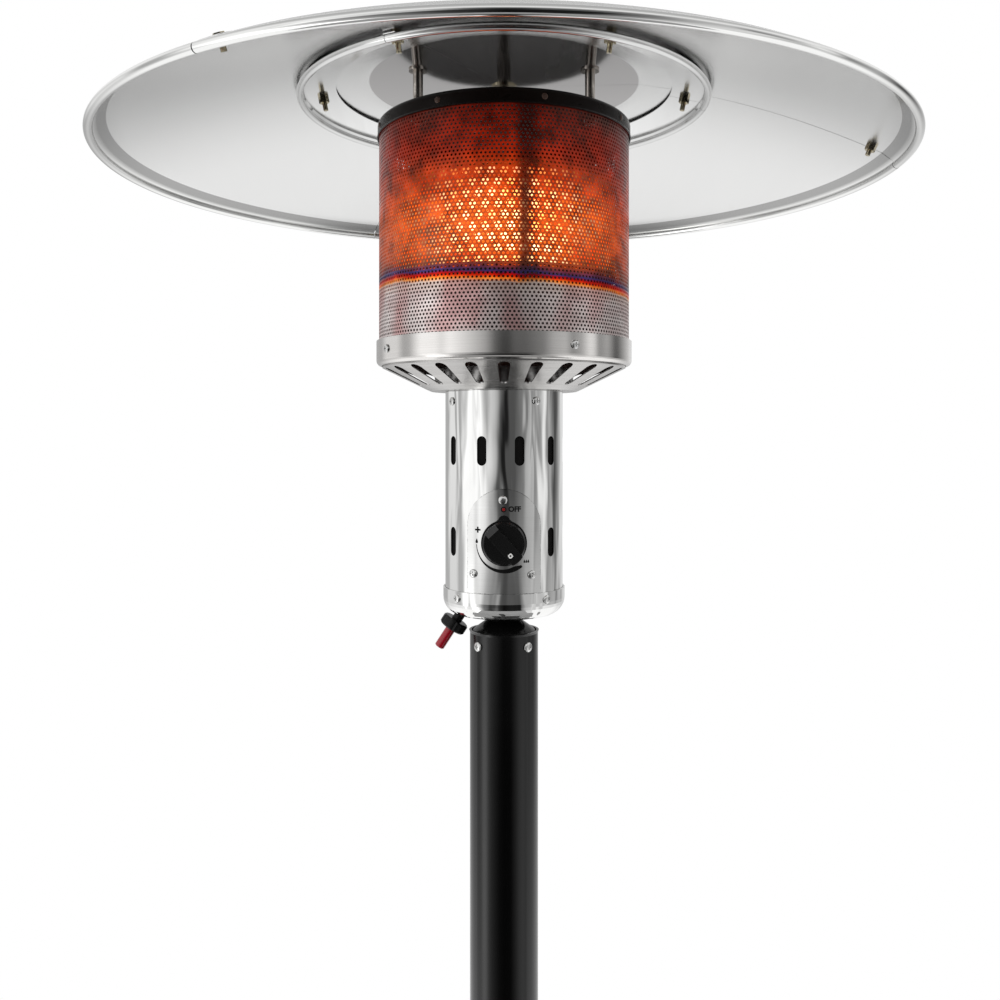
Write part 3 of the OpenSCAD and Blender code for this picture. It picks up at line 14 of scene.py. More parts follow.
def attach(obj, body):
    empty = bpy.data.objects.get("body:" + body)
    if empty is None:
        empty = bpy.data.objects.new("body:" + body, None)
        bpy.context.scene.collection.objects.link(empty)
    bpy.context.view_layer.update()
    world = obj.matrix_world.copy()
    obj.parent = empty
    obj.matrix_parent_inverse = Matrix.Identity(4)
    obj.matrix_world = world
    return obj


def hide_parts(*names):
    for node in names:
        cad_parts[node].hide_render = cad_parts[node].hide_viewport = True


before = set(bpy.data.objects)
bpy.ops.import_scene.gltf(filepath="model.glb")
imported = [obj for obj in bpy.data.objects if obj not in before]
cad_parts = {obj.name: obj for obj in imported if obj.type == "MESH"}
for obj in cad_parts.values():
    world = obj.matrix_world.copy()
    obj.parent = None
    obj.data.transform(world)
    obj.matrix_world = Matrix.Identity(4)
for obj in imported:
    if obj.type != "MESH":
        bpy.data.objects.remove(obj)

logging.basicConfig(level=logging.INFO, format="%(name)s: %(message)s")
LOG = logging.getLogger("heater")

Colour = Tuple[float, float, float]
Tone = Union[float, Colour]
Stop = Tuple[float, Tone]
Point = Tuple[float, float]
Socket = bpy.types.NodeSocket
Sockets = Dict[str, Socket]
Value = Union[float, Sequence[float], Socket]
Material = bpy.types.Material
Mesh = bmesh.types.BMesh

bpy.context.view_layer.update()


class Lines(Enum):
    """The way the grinding or rolling lines run on a metal piece."""

    RINGS = "rings"
    LEVEL = "level"
    UPRIGHT = "upright"
    CAST = "cast"


def as_colour(tone: Tone) -> Colour:
    """Gives a colour's three parts, from one number where it is a grey."""
    return tone if isinstance(tone, tuple) else (tone, tone, tone)


def placed(name: str, data: bpy.types.ID) -> bpy.types.Object:
    """Makes an object and links it into the scene.

    Args:
        name: the object's name.
        data: its mesh, text, lamp or camera.

    Returns:
        The object.
    """
    made = bpy.data.objects.new(name, data)
    bpy.context.scene.collection.objects.link(made)
    return made


class Graph:
    """Lays nodes into one shader tree and joins their sockets."""

    NODES_IN_ROW = 8
    NODE_STEP = (200.0, -220.0)

    def __init__(self, tree: bpy.types.NodeTree) -> None:
        """Keeps the tree and clears it."""
        self.tree = tree
        tree.nodes.clear()

    def feed(self, socket: Socket, value: Value) -> None:
        """Joins a socket to another one, or sets its plain value.

        Args:
            socket: the input socket.
            value: an output socket, a number, a colour or a list of numbers.
        """
        if isinstance(value, bpy.types.NodeSocket):
            self.tree.links.new(value, socket)
        else:
            socket.default_value = (*as_colour(value), 1.0) if socket.type == "RGBA" else value

    def wire(self, node: bpy.types.Node, named: Dict[str, object]) -> None:
        """Sets a node's options and feeds its inputs.

        Args:
            node: the node.
            named: its options in small letters, and its inputs with a capital and _ for a space.
        """
        for name, value in named.items():
            if name[0].isupper():
                self.feed(node.inputs[name.replace("_", " ")], value)
            else:
                setattr(node, name, value)

    def add(self, kind: str, *values: Value, **named: object) -> bpy.types.Node:
        """Adds a node.

        Args:
            kind: the node's type.
            *values: its first inputs, in order.
            **named: its options and its other inputs, as for wire.

        Returns:
            The new node.
        """
        row, column = divmod(len(self.tree.nodes), self.NODES_IN_ROW)
        node = self.tree.nodes.new(kind)
        node.location = (self.NODE_STEP[0] * column, self.NODE_STEP[1] * row)
        self.wire(node, named)
        for socket, value in zip(node.inputs, values):
            self.feed(socket, value)
        return node

    def calc(self, operation: str, *values: Value, clamp: bool = False) -> Socket:
        """Adds a Math node, whose result may be held between 0 and 1."""
        return self.add("ShaderNodeMath", *values, operation=operation, use_clamp=clamp).outputs[0]

    def measure(self, operation: str, *vectors: Value) -> Socket:
        """Adds a Vector Math node that gives a number, such as a length or a dot product."""
        return self.add("ShaderNodeVectorMath", *vectors, operation=operation).outputs["Value"]

    def scaled(self, vector: Value, scale: Colour, turn: Colour = (0.0, 0.0, 0.0)) -> Socket:
        """Stretches a pattern along each axis and turns it, in radians."""
        return self.add("ShaderNodeMapping", Vector=vector, Rotation=turn, Scale=scale).outputs["Vector"]

    def noise(self, vector: Value, scale: Value, detail: float, rough: float, bend: float = 0.0) -> Socket:
        """Adds a noise of a fineness, with finer layers and how strong they are, distorted by bend."""
        return self.add("ShaderNodeTexNoise", Vector=vector, Scale=scale, Detail=detail, Roughness=rough,
                        Distortion=bend).outputs["Fac"]

    def remap(self, value: Value, low: float, high: float, to_low: Value = 0.0,
              to_high: Value = 1.0) -> Socket:
        """Spreads the values from low to high over those from to_low to to_high, and holds them there."""
        return self.add("ShaderNodeMapRange", value, low, high, to_low, to_high, clamp=True).outputs["Result"]

    def blend(self, factor: Value, first: Value, second: Value, kind: str = "MIX") -> Socket:
        """Mixes two colours.

        Args:
            factor: the share of the second one.
            first: the first colour.
            second: the second colour.
            kind: the blend type.

        Returns:
            The mixed colour.
        """
        node = self.add("ShaderNodeMix", factor, data_type="RGBA", blend_type=kind)
        for socket, value in ((node.inputs[6], first), (node.inputs[7], second)):
            self.feed(socket, value)
        return node.outputs[2]

    def tinted(self, first: Value, second: Value) -> Socket:
        """Multiplies a colour by another one."""
        return self.blend(1.0, first, second, "MULTIPLY")

    def ramp(self, factor: Value, stops: Sequence[Stop]) -> Socket:
        """Adds a colour ramp.

        Args:
            factor: the place on the ramp.
            stops: pairs of place and colour, in order.

        Returns:
            The colour.
        """
        node = self.add("ShaderNodeValToRGB", Fac=factor)
        elements = node.color_ramp.elements
        while len(elements) < len(stops):
            elements.new(1.0)
        for element, (place, tone) in zip(elements, stops):
            element.position = place
            element.color = (*as_colour(tone), 1.0)
        return node.outputs["Color"]

    def split(self, vector: Value) -> Tuple[Socket, Socket, Socket]:
        """Gives the X, Y and Z of a vector."""
        return tuple(self.add("ShaderNodeSeparateXYZ", vector).outputs)

    def joined(self, x: Value, y: Value, z: Value) -> Socket:
        """Makes a vector of three numbers."""
        return self.add("ShaderNodeCombineXYZ", x, y, z).outputs[0]

    def radius(self, x: Value, y: Value) -> Socket:
        """Gives the distance from the post's axis."""
        return self.measure("LENGTH", self.joined(x, y, 0.0))

    def around(self, x: Value, y: Value) -> Socket:
        """Gives the plan angle as a part of a turn, 0.5 in front."""
        turn = self.calc("ARCTAN2", x, self.calc("MULTIPLY", y, -1.0))
        return self.calc("MULTIPLY_ADD", turn, 1.0 / math.tau, 0.5)

    def normal(self) -> Socket:
        """Gives the surface's own normal."""
        return self.add("ShaderNodeNewGeometry").outputs["Normal"]

    def mixed(self, factor: Value, first: Socket, second: Socket) -> Socket:
        """Mixes two shaders by the share of the second one."""
        return self.add("ShaderNodeMixShader", factor, first, second).outputs[0]

    def ray(self, kind: str) -> Socket:
        """Gives 1 for one kind of ray and 0 for the others."""
        return self.add("ShaderNodeLightPath").outputs[kind]

    def use(self, group: bpy.types.NodeTree, **values: Value) -> bpy.types.Node:
        """Places a shared effect in this tree, with its inputs by name."""
        return self.add("ShaderNodeGroup", node_tree=group, **values)


class Effects:
    """The shared effects, each built once as a node group with named inputs and outputs."""

    def __init__(self) -> None:
        """Builds every group."""
        self.round_post = self._group("round_post", {}, self._round_post)
        self.grain = self._group("grain", {"Low": 0.2, "High": 0.4}, self._grain)
        self.handling = self._group("handling_marks", {"Scale": 12.0, "Amount": 0.3}, self._handling)
        self.paint_skin = self._group("paint_skin", {"Scale": 900.0}, self._paint_skin)
        self.edge_wear_and_shading = self._group("edge_wear_and_shading", {"Radius": 0.0008, "Amount": 0.5}, self._edge_wear_and_shading)
        self.dust = self._group("dust", {"Amount": 0.3}, self._dust)
        self.heat_level = self._group("heat_level", {"Foot": 1.93, "Head": 2.14, "Waver": 0.003,
                                                     "Tilt": 0.0}, self._heat_level)

    @staticmethod
    def _group(name: str, numbers: Dict[str, float],
               lay: Callable[[Graph, Sockets], Sockets]) -> bpy.types.NodeTree:
        """Makes a node group whose inputs are a vector and some numbers.

        Args:
            name: the group's name.
            numbers: the number inputs with their start values.
            lay: the function that lays the nodes between the inputs and the outputs, both by name.

        Returns:
            The group.
        """
        tree = bpy.data.node_groups.new(name, "ShaderNodeTree")
        tree.interface.new_socket("Vector", in_out="INPUT", socket_type="NodeSocketVector")
        for label, start in numbers.items():
            made = tree.interface.new_socket(label, in_out="INPUT", socket_type="NodeSocketFloat")
            made.default_value = start
        graph = Graph(tree)
        given = graph.add("NodeGroupInput").outputs
        results = lay(graph, {label: given[label] for label in ("Vector", *numbers)})
        for label, socket in results.items():
            kind = "NodeSocketVector" if socket.type == "VECTOR" else "NodeSocketFloat"
            tree.interface.new_socket(label, in_out="OUTPUT", socket_type=kind)
        graph.add("NodeGroupOutput", *results.values())
        return tree

    @staticmethod
    def _round_post(g: Graph, given: Sockets) -> Sockets:
        """Puts the height along a turned surface in Z, so that lines run as rings about the post."""
        x, y, z = g.split(given["Vector"])
        return {"Vector": g.joined(x, y, g.calc("ADD", g.radius(x, y), z))}

    @staticmethod
    def _grain(g: Graph, given: Sockets) -> Sockets:
        """Lays fine lines with broader bands among them.

        Args:
            g: the group's graph.
            given: its inputs.

        Returns:
            The lines as a mask and as a roughness.
        """
        fine = g.calc("MULTIPLY", g.noise(given["Vector"], 1.0, 2.0, 0.6), 0.7)
        broad = g.calc("MULTIPLY", g.noise(given["Vector"], 0.07, 2.0, 0.5), 0.3)
        mask = g.remap(g.calc("ADD", fine, broad), 0.3, 0.7)
        span = g.calc("SUBTRACT", given["High"], given["Low"])
        return {"Mask": mask, "Roughness": g.calc("MULTIPLY_ADD", mask, span, given["Low"])}

    @staticmethod
    def _handling(g: Graph, given: Sockets) -> Sockets:
        """Lays faint smears and touched places."""
        cloud = g.remap(g.noise(given["Vector"], given["Scale"], 4.0, 0.6, 0.8), 0.48, 0.72)
        return {"Mask": g.calc("MULTIPLY", cloud, given["Amount"])}

    @staticmethod
    def _paint_skin(g: Graph, given: Sockets) -> Sockets:
        """Lays the faint orange peel of a baked paint, and its slow change of tone."""
        tone = g.remap(g.noise(given["Vector"], 7.0, 3.0, 0.5, 0.4), 0.3, 0.7)
        return {"Height": g.noise(given["Vector"], given["Scale"], 2.0, 0.5), "Tone": tone}

    @staticmethod
    def _edge_wear_and_shading(g: Graph, given: Sockets) -> Sockets:
        """Finds outer edges, where a finish is rubbed and where a painted highlight or painted shade is laid
        along them, and breaks them up.

        Args:
            g: the group's graph.
            given: its inputs.

        Returns:
            The edges as a mask, for wear and for painted edge highlights and shade.
        """
        rounded = g.add("ShaderNodeBevel", samples=4, Radius=given["Radius"]).outputs["Normal"]
        edge = g.remap(g.measure("DOT_PRODUCT", rounded, g.normal()), 0.995, 0.9)
        broken = g.remap(g.noise(given["Vector"], 180.0, 4.0, 0.65), 0.42, 0.6)
        return {"Mask": g.calc("MULTIPLY", g.calc("MULTIPLY", edge, broken), given["Amount"])}

    @staticmethod
    def _dust(g: Graph, given: Sockets) -> Sockets:
        """Lays dust on faces that look up.

        Args:
            g: the group's graph.
            given: its inputs.

        Returns:
            The dust as a mask.
        """
        lies = g.remap(g.split(g.normal())[2], 0.55, 0.95)
        cloud = g.remap(g.noise(given["Vector"], 26.0, 5.0, 0.7), 0.35, 0.75)
        return {"Mask": g.calc("MULTIPLY", g.calc("MULTIPLY", lies, cloud), given["Amount"])}

    @staticmethod
    def _heat_level(g: Graph, given: Sockets) -> Sockets:
        """Measures the height on the burner, a little wavy, and the angle round it.

        Args:
            g: the group's graph.
            given: its inputs.

        Returns:
            The height from 0 at the foot to 1 at the head, and the part of a turn.
        """
        x, y, z = g.split(given["Vector"])
        wave = g.calc("SUBTRACT", g.noise(given["Vector"], 14.0, 7.0, 0.78), 0.5)
        height = g.calc("MULTIPLY_ADD", x, given["Tilt"], g.calc("MULTIPLY_ADD", wave, given["Waver"], z))
        part, whole = [g.calc("SUBTRACT", top, given["Foot"]) for top in (height, given["Head"])]
        return {"Level": g.calc("DIVIDE", part, whole), "Around": g.around(x, y)}


class Surface(Graph):
    """A material's graph, with its Principled shader and its Object coordinates."""

    def __init__(self, name: str, metallic: float = 0.0) -> None:
        """Starts the material.

        Args:
            name: the material's name.
            metallic: how far it is a metal.
        """
        self.material = bpy.data.materials.new(name)
        self.material.use_nodes = True
        super().__init__(self.material.node_tree)
        self.shader = self.add("ShaderNodeBsdfPrincipled", Metallic=metallic)
        self.add("ShaderNodeOutputMaterial", Surface=self.shader.outputs["BSDF"])
        self.place = self.add("ShaderNodeTexCoord").outputs["Object"]

    def mask(self, group: bpy.types.NodeTree, **values: Value) -> Socket:
        """Gives the mask of a shared effect at the piece's own coordinates."""
        return self.use(group, Vector=self.place, **values).outputs["Mask"]

    def dress(self, relief: Socket, depth: float, **named: Value) -> Material:
        """Gives the surface its small relief and the shader's inputs.

        Args:
            relief: the relief's pattern.
            depth: how deep the pattern is, in metres.
            **named: the inputs, with _ for a space.

        Returns:
            The material.
        """
        bump = self.add("ShaderNodeBump", Strength=1.0, Distance=depth, Height=relief)
        self.wire(self.shader, {**named, "Normal": bump.outputs["Normal"]})
        return self.material


@dataclass(frozen=True)
class Metal:
    """Bare, ground, plated or cast metal."""

    name: str
    light: Tone
    dark: Tone
    gloss: float
    haze: float
    lines: Lines = Lines.LEVEL
    fine: float = 2500.0
    slow: float = 12.0
    depth: float = 0.000004
    smears: float = 0.12
    smear_scale: float = 11.0
    smear_haze: float = 0.25
    # edges, edge_shade_tone and edge_reach lay a tone along outer edges: a lighter one that is partly rubbed
    # metal and partly a painted highlight, or a given dark one that is a painted shade outline.
    edges: float = 0.0
    edge_shade_tone: Optional[Tone] = None
    edge_reach: float = 0.0008
    wave: float = 0.0
    wave_stretch: Colour = (46.0, 46.0, 7.0)

    def material(self, effects: Effects) -> Material:
        """Builds the metal's material.

        Args:
            effects: the shared effects.

        Returns:
            The material.
        """
        s = Surface(self.name, 1.0)
        fine, slow = self.fine, self.slow
        stretch = {Lines.UPRIGHT: (fine, fine, slow), Lines.CAST: (fine, fine, fine)}.get(
            self.lines, (slow, slow, fine))
        base = s.place
        if self.lines is Lines.RINGS:
            base = s.use(effects.round_post, Vector=base).outputs[0]
        grain = s.use(effects.grain, Vector=s.scaled(base, stretch), Low=self.gloss, High=self.haze).outputs
        smears = s.mask(effects.handling, Scale=self.smear_scale, Amount=self.smears)
        tone = s.blend(grain["Mask"], self.light, self.dark)
        if self.edges > 0.0:
            wear_and_edge_shading = s.mask(effects.edge_wear_and_shading, Radius=self.edge_reach, Amount=self.edges)
            # The lighter edge tone is partly rubbed metal and partly a painted highlight along the edges.
            rubbed_and_lit = tuple(min(1.0, v * 1.35 + 0.05) for v in as_colour(self.light))
            tone = s.blend(wear_and_edge_shading, tone, self.edge_shade_tone or rubbed_and_lit)
        relief, depth = grain["Mask"], self.depth
        if self.wave > 0.0:
            swell = s.noise(s.scaled(s.place, self.wave_stretch), 1.0, 1.5, 0.45, 0.5)
            relief = s.calc("MULTIPLY_ADD", relief, self.depth / self.wave, swell)
            depth = self.wave
        rough = s.calc("MULTIPLY_ADD", smears, self.smear_haze, grain["Roughness"], clamp=True)
        return s.dress(relief, depth, Base_Color=s.blend(smears, tone, self.dark), Roughness=rough)


@dataclass(frozen=True)
class Paint:
    """Baked paint, moulded plastic, rubber or glaze: a coloured skin with gloss and fine relief."""

    name: str
    tone: Tone
    shade: Tone
    gloss: float
    haze: float
    coat: float = 0.0
    coat_haze: float = 0.06
    mirror: float = 0.5
    skin: float = 900.0
    depth: float = 0.00001
    dusty: float = 0.0
    dust_tone: Tone = (0.42, 0.40, 0.37)
    dust_haze: float = 0.5
    wear_and_edge_shading: float = 0.0
    wear_and_edge_shading_tone: Tone = 0.2
    smears: float = 0.1
    smear_scale: float = 14.0

    def material(self, effects: Effects) -> Material:
        """Builds the material of the coloured skin.

        Args:
            effects: the shared effects.

        Returns:
            The material.
        """
        s = Surface(self.name)
        skin = s.use(effects.paint_skin, Vector=s.place, Scale=self.skin).outputs
        smears = s.mask(effects.handling, Scale=self.smear_scale, Amount=self.smears)
        colour = s.blend(skin["Tone"], self.tone, self.shade)
        rough = s.calc("ADD", s.remap(skin["Tone"], 0.0, 1.0, self.gloss, self.haze), smears, clamp=True)
        # Edges take the worn tone: partly worn paint, and on the knob a painted highlight along its grip bar
        # and rim.
        if self.wear_and_edge_shading > 0.0:
            colour = s.blend(s.mask(effects.edge_wear_and_shading, Amount=self.wear_and_edge_shading), colour, self.wear_and_edge_shading_tone)
        if self.dusty > 0.0:
            dust = s.mask(effects.dust, Amount=self.dusty)
            colour = s.blend(dust, colour, self.dust_tone)
            rough = s.calc("MULTIPLY_ADD", dust, self.dust_haze, rough, clamp=True)
        return s.dress(skin["Height"], self.depth, Base_Color=colour, Roughness=rough,
                       Coat_Weight=self.coat, Coat_Roughness=self.coat_haze,
                       Specular_IOR_Level=self.mirror)


@dataclass(frozen=True)
class ReflectorSheet:
    """The reflector's rolled sheet: satin on its face, bright on its bead, darker on its disc, with a painted
    shade on its skirt.
    """

    name: str
    light: Tone
    dark: Tone
    bead_from: float
    bead_to: float
    gloss: float = 0.235
    haze: float = 0.255
    stretch: Colour = (260.0, 14.0, 14.0)
    turn: Colour = (0.0, 0.0, 0.5)
    bead_gloss: float = 0.07
    bead_tone: Tone = (0.84, 0.84, 0.83)
    # The skirt's tone is a painted shade, for the darker surroundings that the skirt reflects.
    skirt_shade_tone: Tone = (0.37, 0.37, 0.365)
    skirt_from: float = 0.3866
    skirt_to: float = 0.3872
    disc_tone: Tone = (0.44, 0.43, 0.425)
    disc_from: float = 0.1385
    disc_to: float = 0.1402
    disc_gloss: float = 0.065
    smears: float = 0.22
    smear_haze: float = 0.06
    swell: float = 0.0010
    grain_share: float = 0.00005

    def material(self, effects: Effects) -> Material:
        """Builds the sheet's material.

        Args:
            effects: the shared effects.

        Returns:
            The material.
        """
        s = Surface(self.name, 1.0)
        x, y, _ = s.split(s.place)
        radius, normal = s.radius(x, y), s.normal()
        bead = s.remap(radius, self.bead_from, self.bead_to)
        grain = s.use(effects.grain, Vector=s.scaled(s.place, self.stretch, self.turn), Low=self.gloss,
                      High=self.haze).outputs
        smears = s.mask(effects.handling, Scale=6.0, Amount=self.smears)
        tone = s.blend(smears, s.blend(grain["Mask"], self.light, self.dark), self.dark)
        down = s.remap(s.split(normal)[2], -0.3, -0.1, 1.0, 0.0)
        disc = s.calc("MULTIPLY", down, s.remap(radius, self.disc_from, self.disc_to, 1.0, 0.0))
        # The inward-facing skirt takes a darker tone: a painted shade, not a colour of the sheet.
        inner = s.remap(s.measure("DOT_PRODUCT", normal, s.joined(x, y, 0.0)), -0.05, 0.05, 1.0, 0.0)
        skirt = s.calc("MULTIPLY", inner, s.remap(radius, self.skirt_from, self.skirt_to))
        for mask, own in ((disc, self.disc_tone), (skirt, self.skirt_shade_tone), (bead, self.bead_tone)):
            tone = s.blend(mask, tone, own)
        rough = s.calc("MULTIPLY_ADD", smears, self.smear_haze, grain["Roughness"])
        for mask, gloss in ((disc, self.disc_gloss), (bead, self.bead_gloss)):
            rough = s.remap(mask, 0.0, 1.0, rough, gloss)
        relief = s.calc("MULTIPLY_ADD", grain["Mask"], self.grain_share, s.noise(s.place, 5.0, 1.0, 0.4))
        return s.dress(relief, self.swell, Base_Color=tone, Roughness=rough)


@dataclass(frozen=True)
class ScreenFinish:
    """The perforated steel round the burner: bare below, heat-coloured above, glowing where it is hottest,
    with the glow painted brightest on its front and fading towards its sides.
    """

    name: str = "screen_steel_heated"
    foot: float = 1.9291
    head: float = 2.1381
    waver: float = 0.012
    tilt: float = 0.045
    glow: float = 1.0
    depth: float = 0.00002
    tints: Sequence[Stop] = (
        (0.0, (0.97, 0.92, 0.90)), (0.16, (0.97, 0.86, 0.84)), (0.215, (0.94, 0.78, 0.70)),
        (0.228, (0.85, 0.42, 0.08)), (0.240, (0.60, 0.03, 0.01)), (0.252, (0.30, 0.01, 0.01)),
        (0.262, (0.06, 0.07, 0.26)), (0.278, (0.10, 0.06, 0.14)), (0.300, (0.13, 0.07, 0.05)),
        (0.60, (0.13, 0.07, 0.055)), (0.85, (0.055, 0.026, 0.020)), (1.0, (0.06, 0.032, 0.025)))
    glows: Sequence[Stop] = (
        (0.0, 0.0), (0.215, 0.0), (0.228, (0.50, 0.10, 0.0)), (0.240, (0.42, 0.010, 0.0)),
        (0.252, (0.20, 0.0, 0.0)), (0.262, (0.0, 0.004, 0.03)), (0.280, (0.12, 0.010, 0.004)),
        (0.35, (0.50, 0.062, 0.006)), (0.50, (0.66, 0.088, 0.008)), (0.66, (0.52, 0.046, 0.004)),
        (0.80, (0.28, 0.012, 0.001)), (0.93, (0.15, 0.006, 0.001)), (1.0, (0.06, 0.003, 0.001)))
    # sides is a painted glow by the angle round the screen: brightest on the front, darker towards the sides
    # and back, with a narrow dark band just right of the front.
    sides: Sequence[Stop] = (
        (0.20, (0.16, 0.15, 0.15)), (0.30, (0.56, 0.58, 0.60)), (0.38, (0.78, 0.80, 0.82)),
        (0.44, 0.95), (0.510, 0.95), (0.521, (0.20, 0.16, 0.16)), (0.532, (0.20, 0.16, 0.16)),
        (0.545, 0.85), (0.60, (0.70, 0.68, 0.68)), (0.69, (0.48, 0.42, 0.40)), (0.80, (0.10, 0.08, 0.08)))

    def material(self, effects: Effects) -> Material:
        """Builds the heated screen's material.

        Args:
            effects: the shared effects.

        Returns:
            The material.
        """
        s = Surface(self.name, 1.0)
        heat = s.use(effects.heat_level, Vector=s.place, Foot=self.foot, Head=self.head,
                     Waver=self.waver, Tilt=self.tilt).outputs
        mottle = s.noise(s.scaled(s.place, (30.0, 30.0, 60.0)), 1.0, 4.0, 0.6)
        spots = s.ramp(mottle, [(0.3, 1.0), (0.7, (0.70, 0.62, 0.62))])
        tone = s.tinted(s.ramp(heat["Level"], self.tints), spots)
        blush = s.remap(s.noise(s.scaled(s.place, (22.0, 22.0, 9.0)), 1.0, 2.0, 0.5), 0.46, 0.62)
        tone = s.blend(blush, tone, s.tinted(tone, (0.86, 0.62, 0.62)))
        # The glow by height is painted brighter on the front by the sides ramp.
        shaded = s.tinted(s.ramp(heat["Level"], self.glows), s.ramp(heat["Around"], self.sides))
        patches = s.remap(s.noise(s.place, 48.0, 3.0, 0.65), 0.34, 0.66, 0.30, 1.45)
        bare = s.remap(heat["Level"], 0.20, 0.25, 0.14, 0.0)
        rough = s.calc("ADD", s.remap(mottle, 0.3, 0.7, 0.22, 0.36), bare)
        return s.dress(mottle, self.depth, Base_Color=tone, Roughness=rough,
                       Emission_Color=s.tinted(shaded, patches), Emission_Strength=self.glow)


@dataclass(frozen=True)
class GlowFinish:
    """A glowing burner face: a hot colour that drifts over the surface, painted brightest in the middle of
    its front and fading towards its sides.
    """

    name: str
    hot: Colour
    cool: Colour
    strength: float
    # full, faint and rest set the painted falloff of the glow from the front towards the sides.
    full: float
    faint: float
    rest: float
    metal: Colour = (0.16, 0.06, 0.03)
    foot: float = 1.990
    head: float = 2.096
    waver: float = 0.01
    middle: float = 0.503
    seam: float = 0.527
    depth: float = 0.00004
    rises: Sequence[Stop] = (
        (0.0, 0.30), (0.15, 1.0), (0.60, 1.0), (0.78, (0.50, 0.42, 0.42)), (0.90, (0.22, 0.18, 0.18)),
        (1.0, (0.10, 0.08, 0.08)))

    def material(self, effects: Effects) -> Material:
        """Builds the glowing material.

        Args:
            effects: the shared effects.

        Returns:
            The material.
        """
        s = Surface(self.name, 0.6)
        heat = s.use(effects.heat_level, Vector=s.place, Foot=self.foot, Head=self.head,
                     Waver=self.waver).outputs
        # The glow is painted strongest round the front and falls off towards the sides, and it is darker
        # along the seam.
        aside, off_seam = [s.calc("ABSOLUTE", s.calc("SUBTRACT", heat["Around"], place))
                           for place in (self.middle, self.seam)]
        front_glow_share = s.remap(aside, self.full, self.faint, 1.0, self.rest)
        sides = s.calc("MULTIPLY", front_glow_share, s.remap(off_seam, 0.003, 0.013, 0.05, 1.0))
        drift = s.remap(s.noise(s.place, 30.0, 3.0, 0.6), 0.38, 0.62)
        colour = s.tinted(s.blend(drift, self.cool, self.hot), sides)
        return s.dress(drift, self.depth,
                       Base_Color=s.blend(drift, self.metal, tuple(v * 0.6 for v in self.metal)),
                       Roughness=s.remap(drift, 0.0, 1.0, 0.45, 0.65),
                       Emission_Color=s.tinted(colour, s.ramp(heat["Level"], self.rises)),
                       Emission_Strength=self.strength)


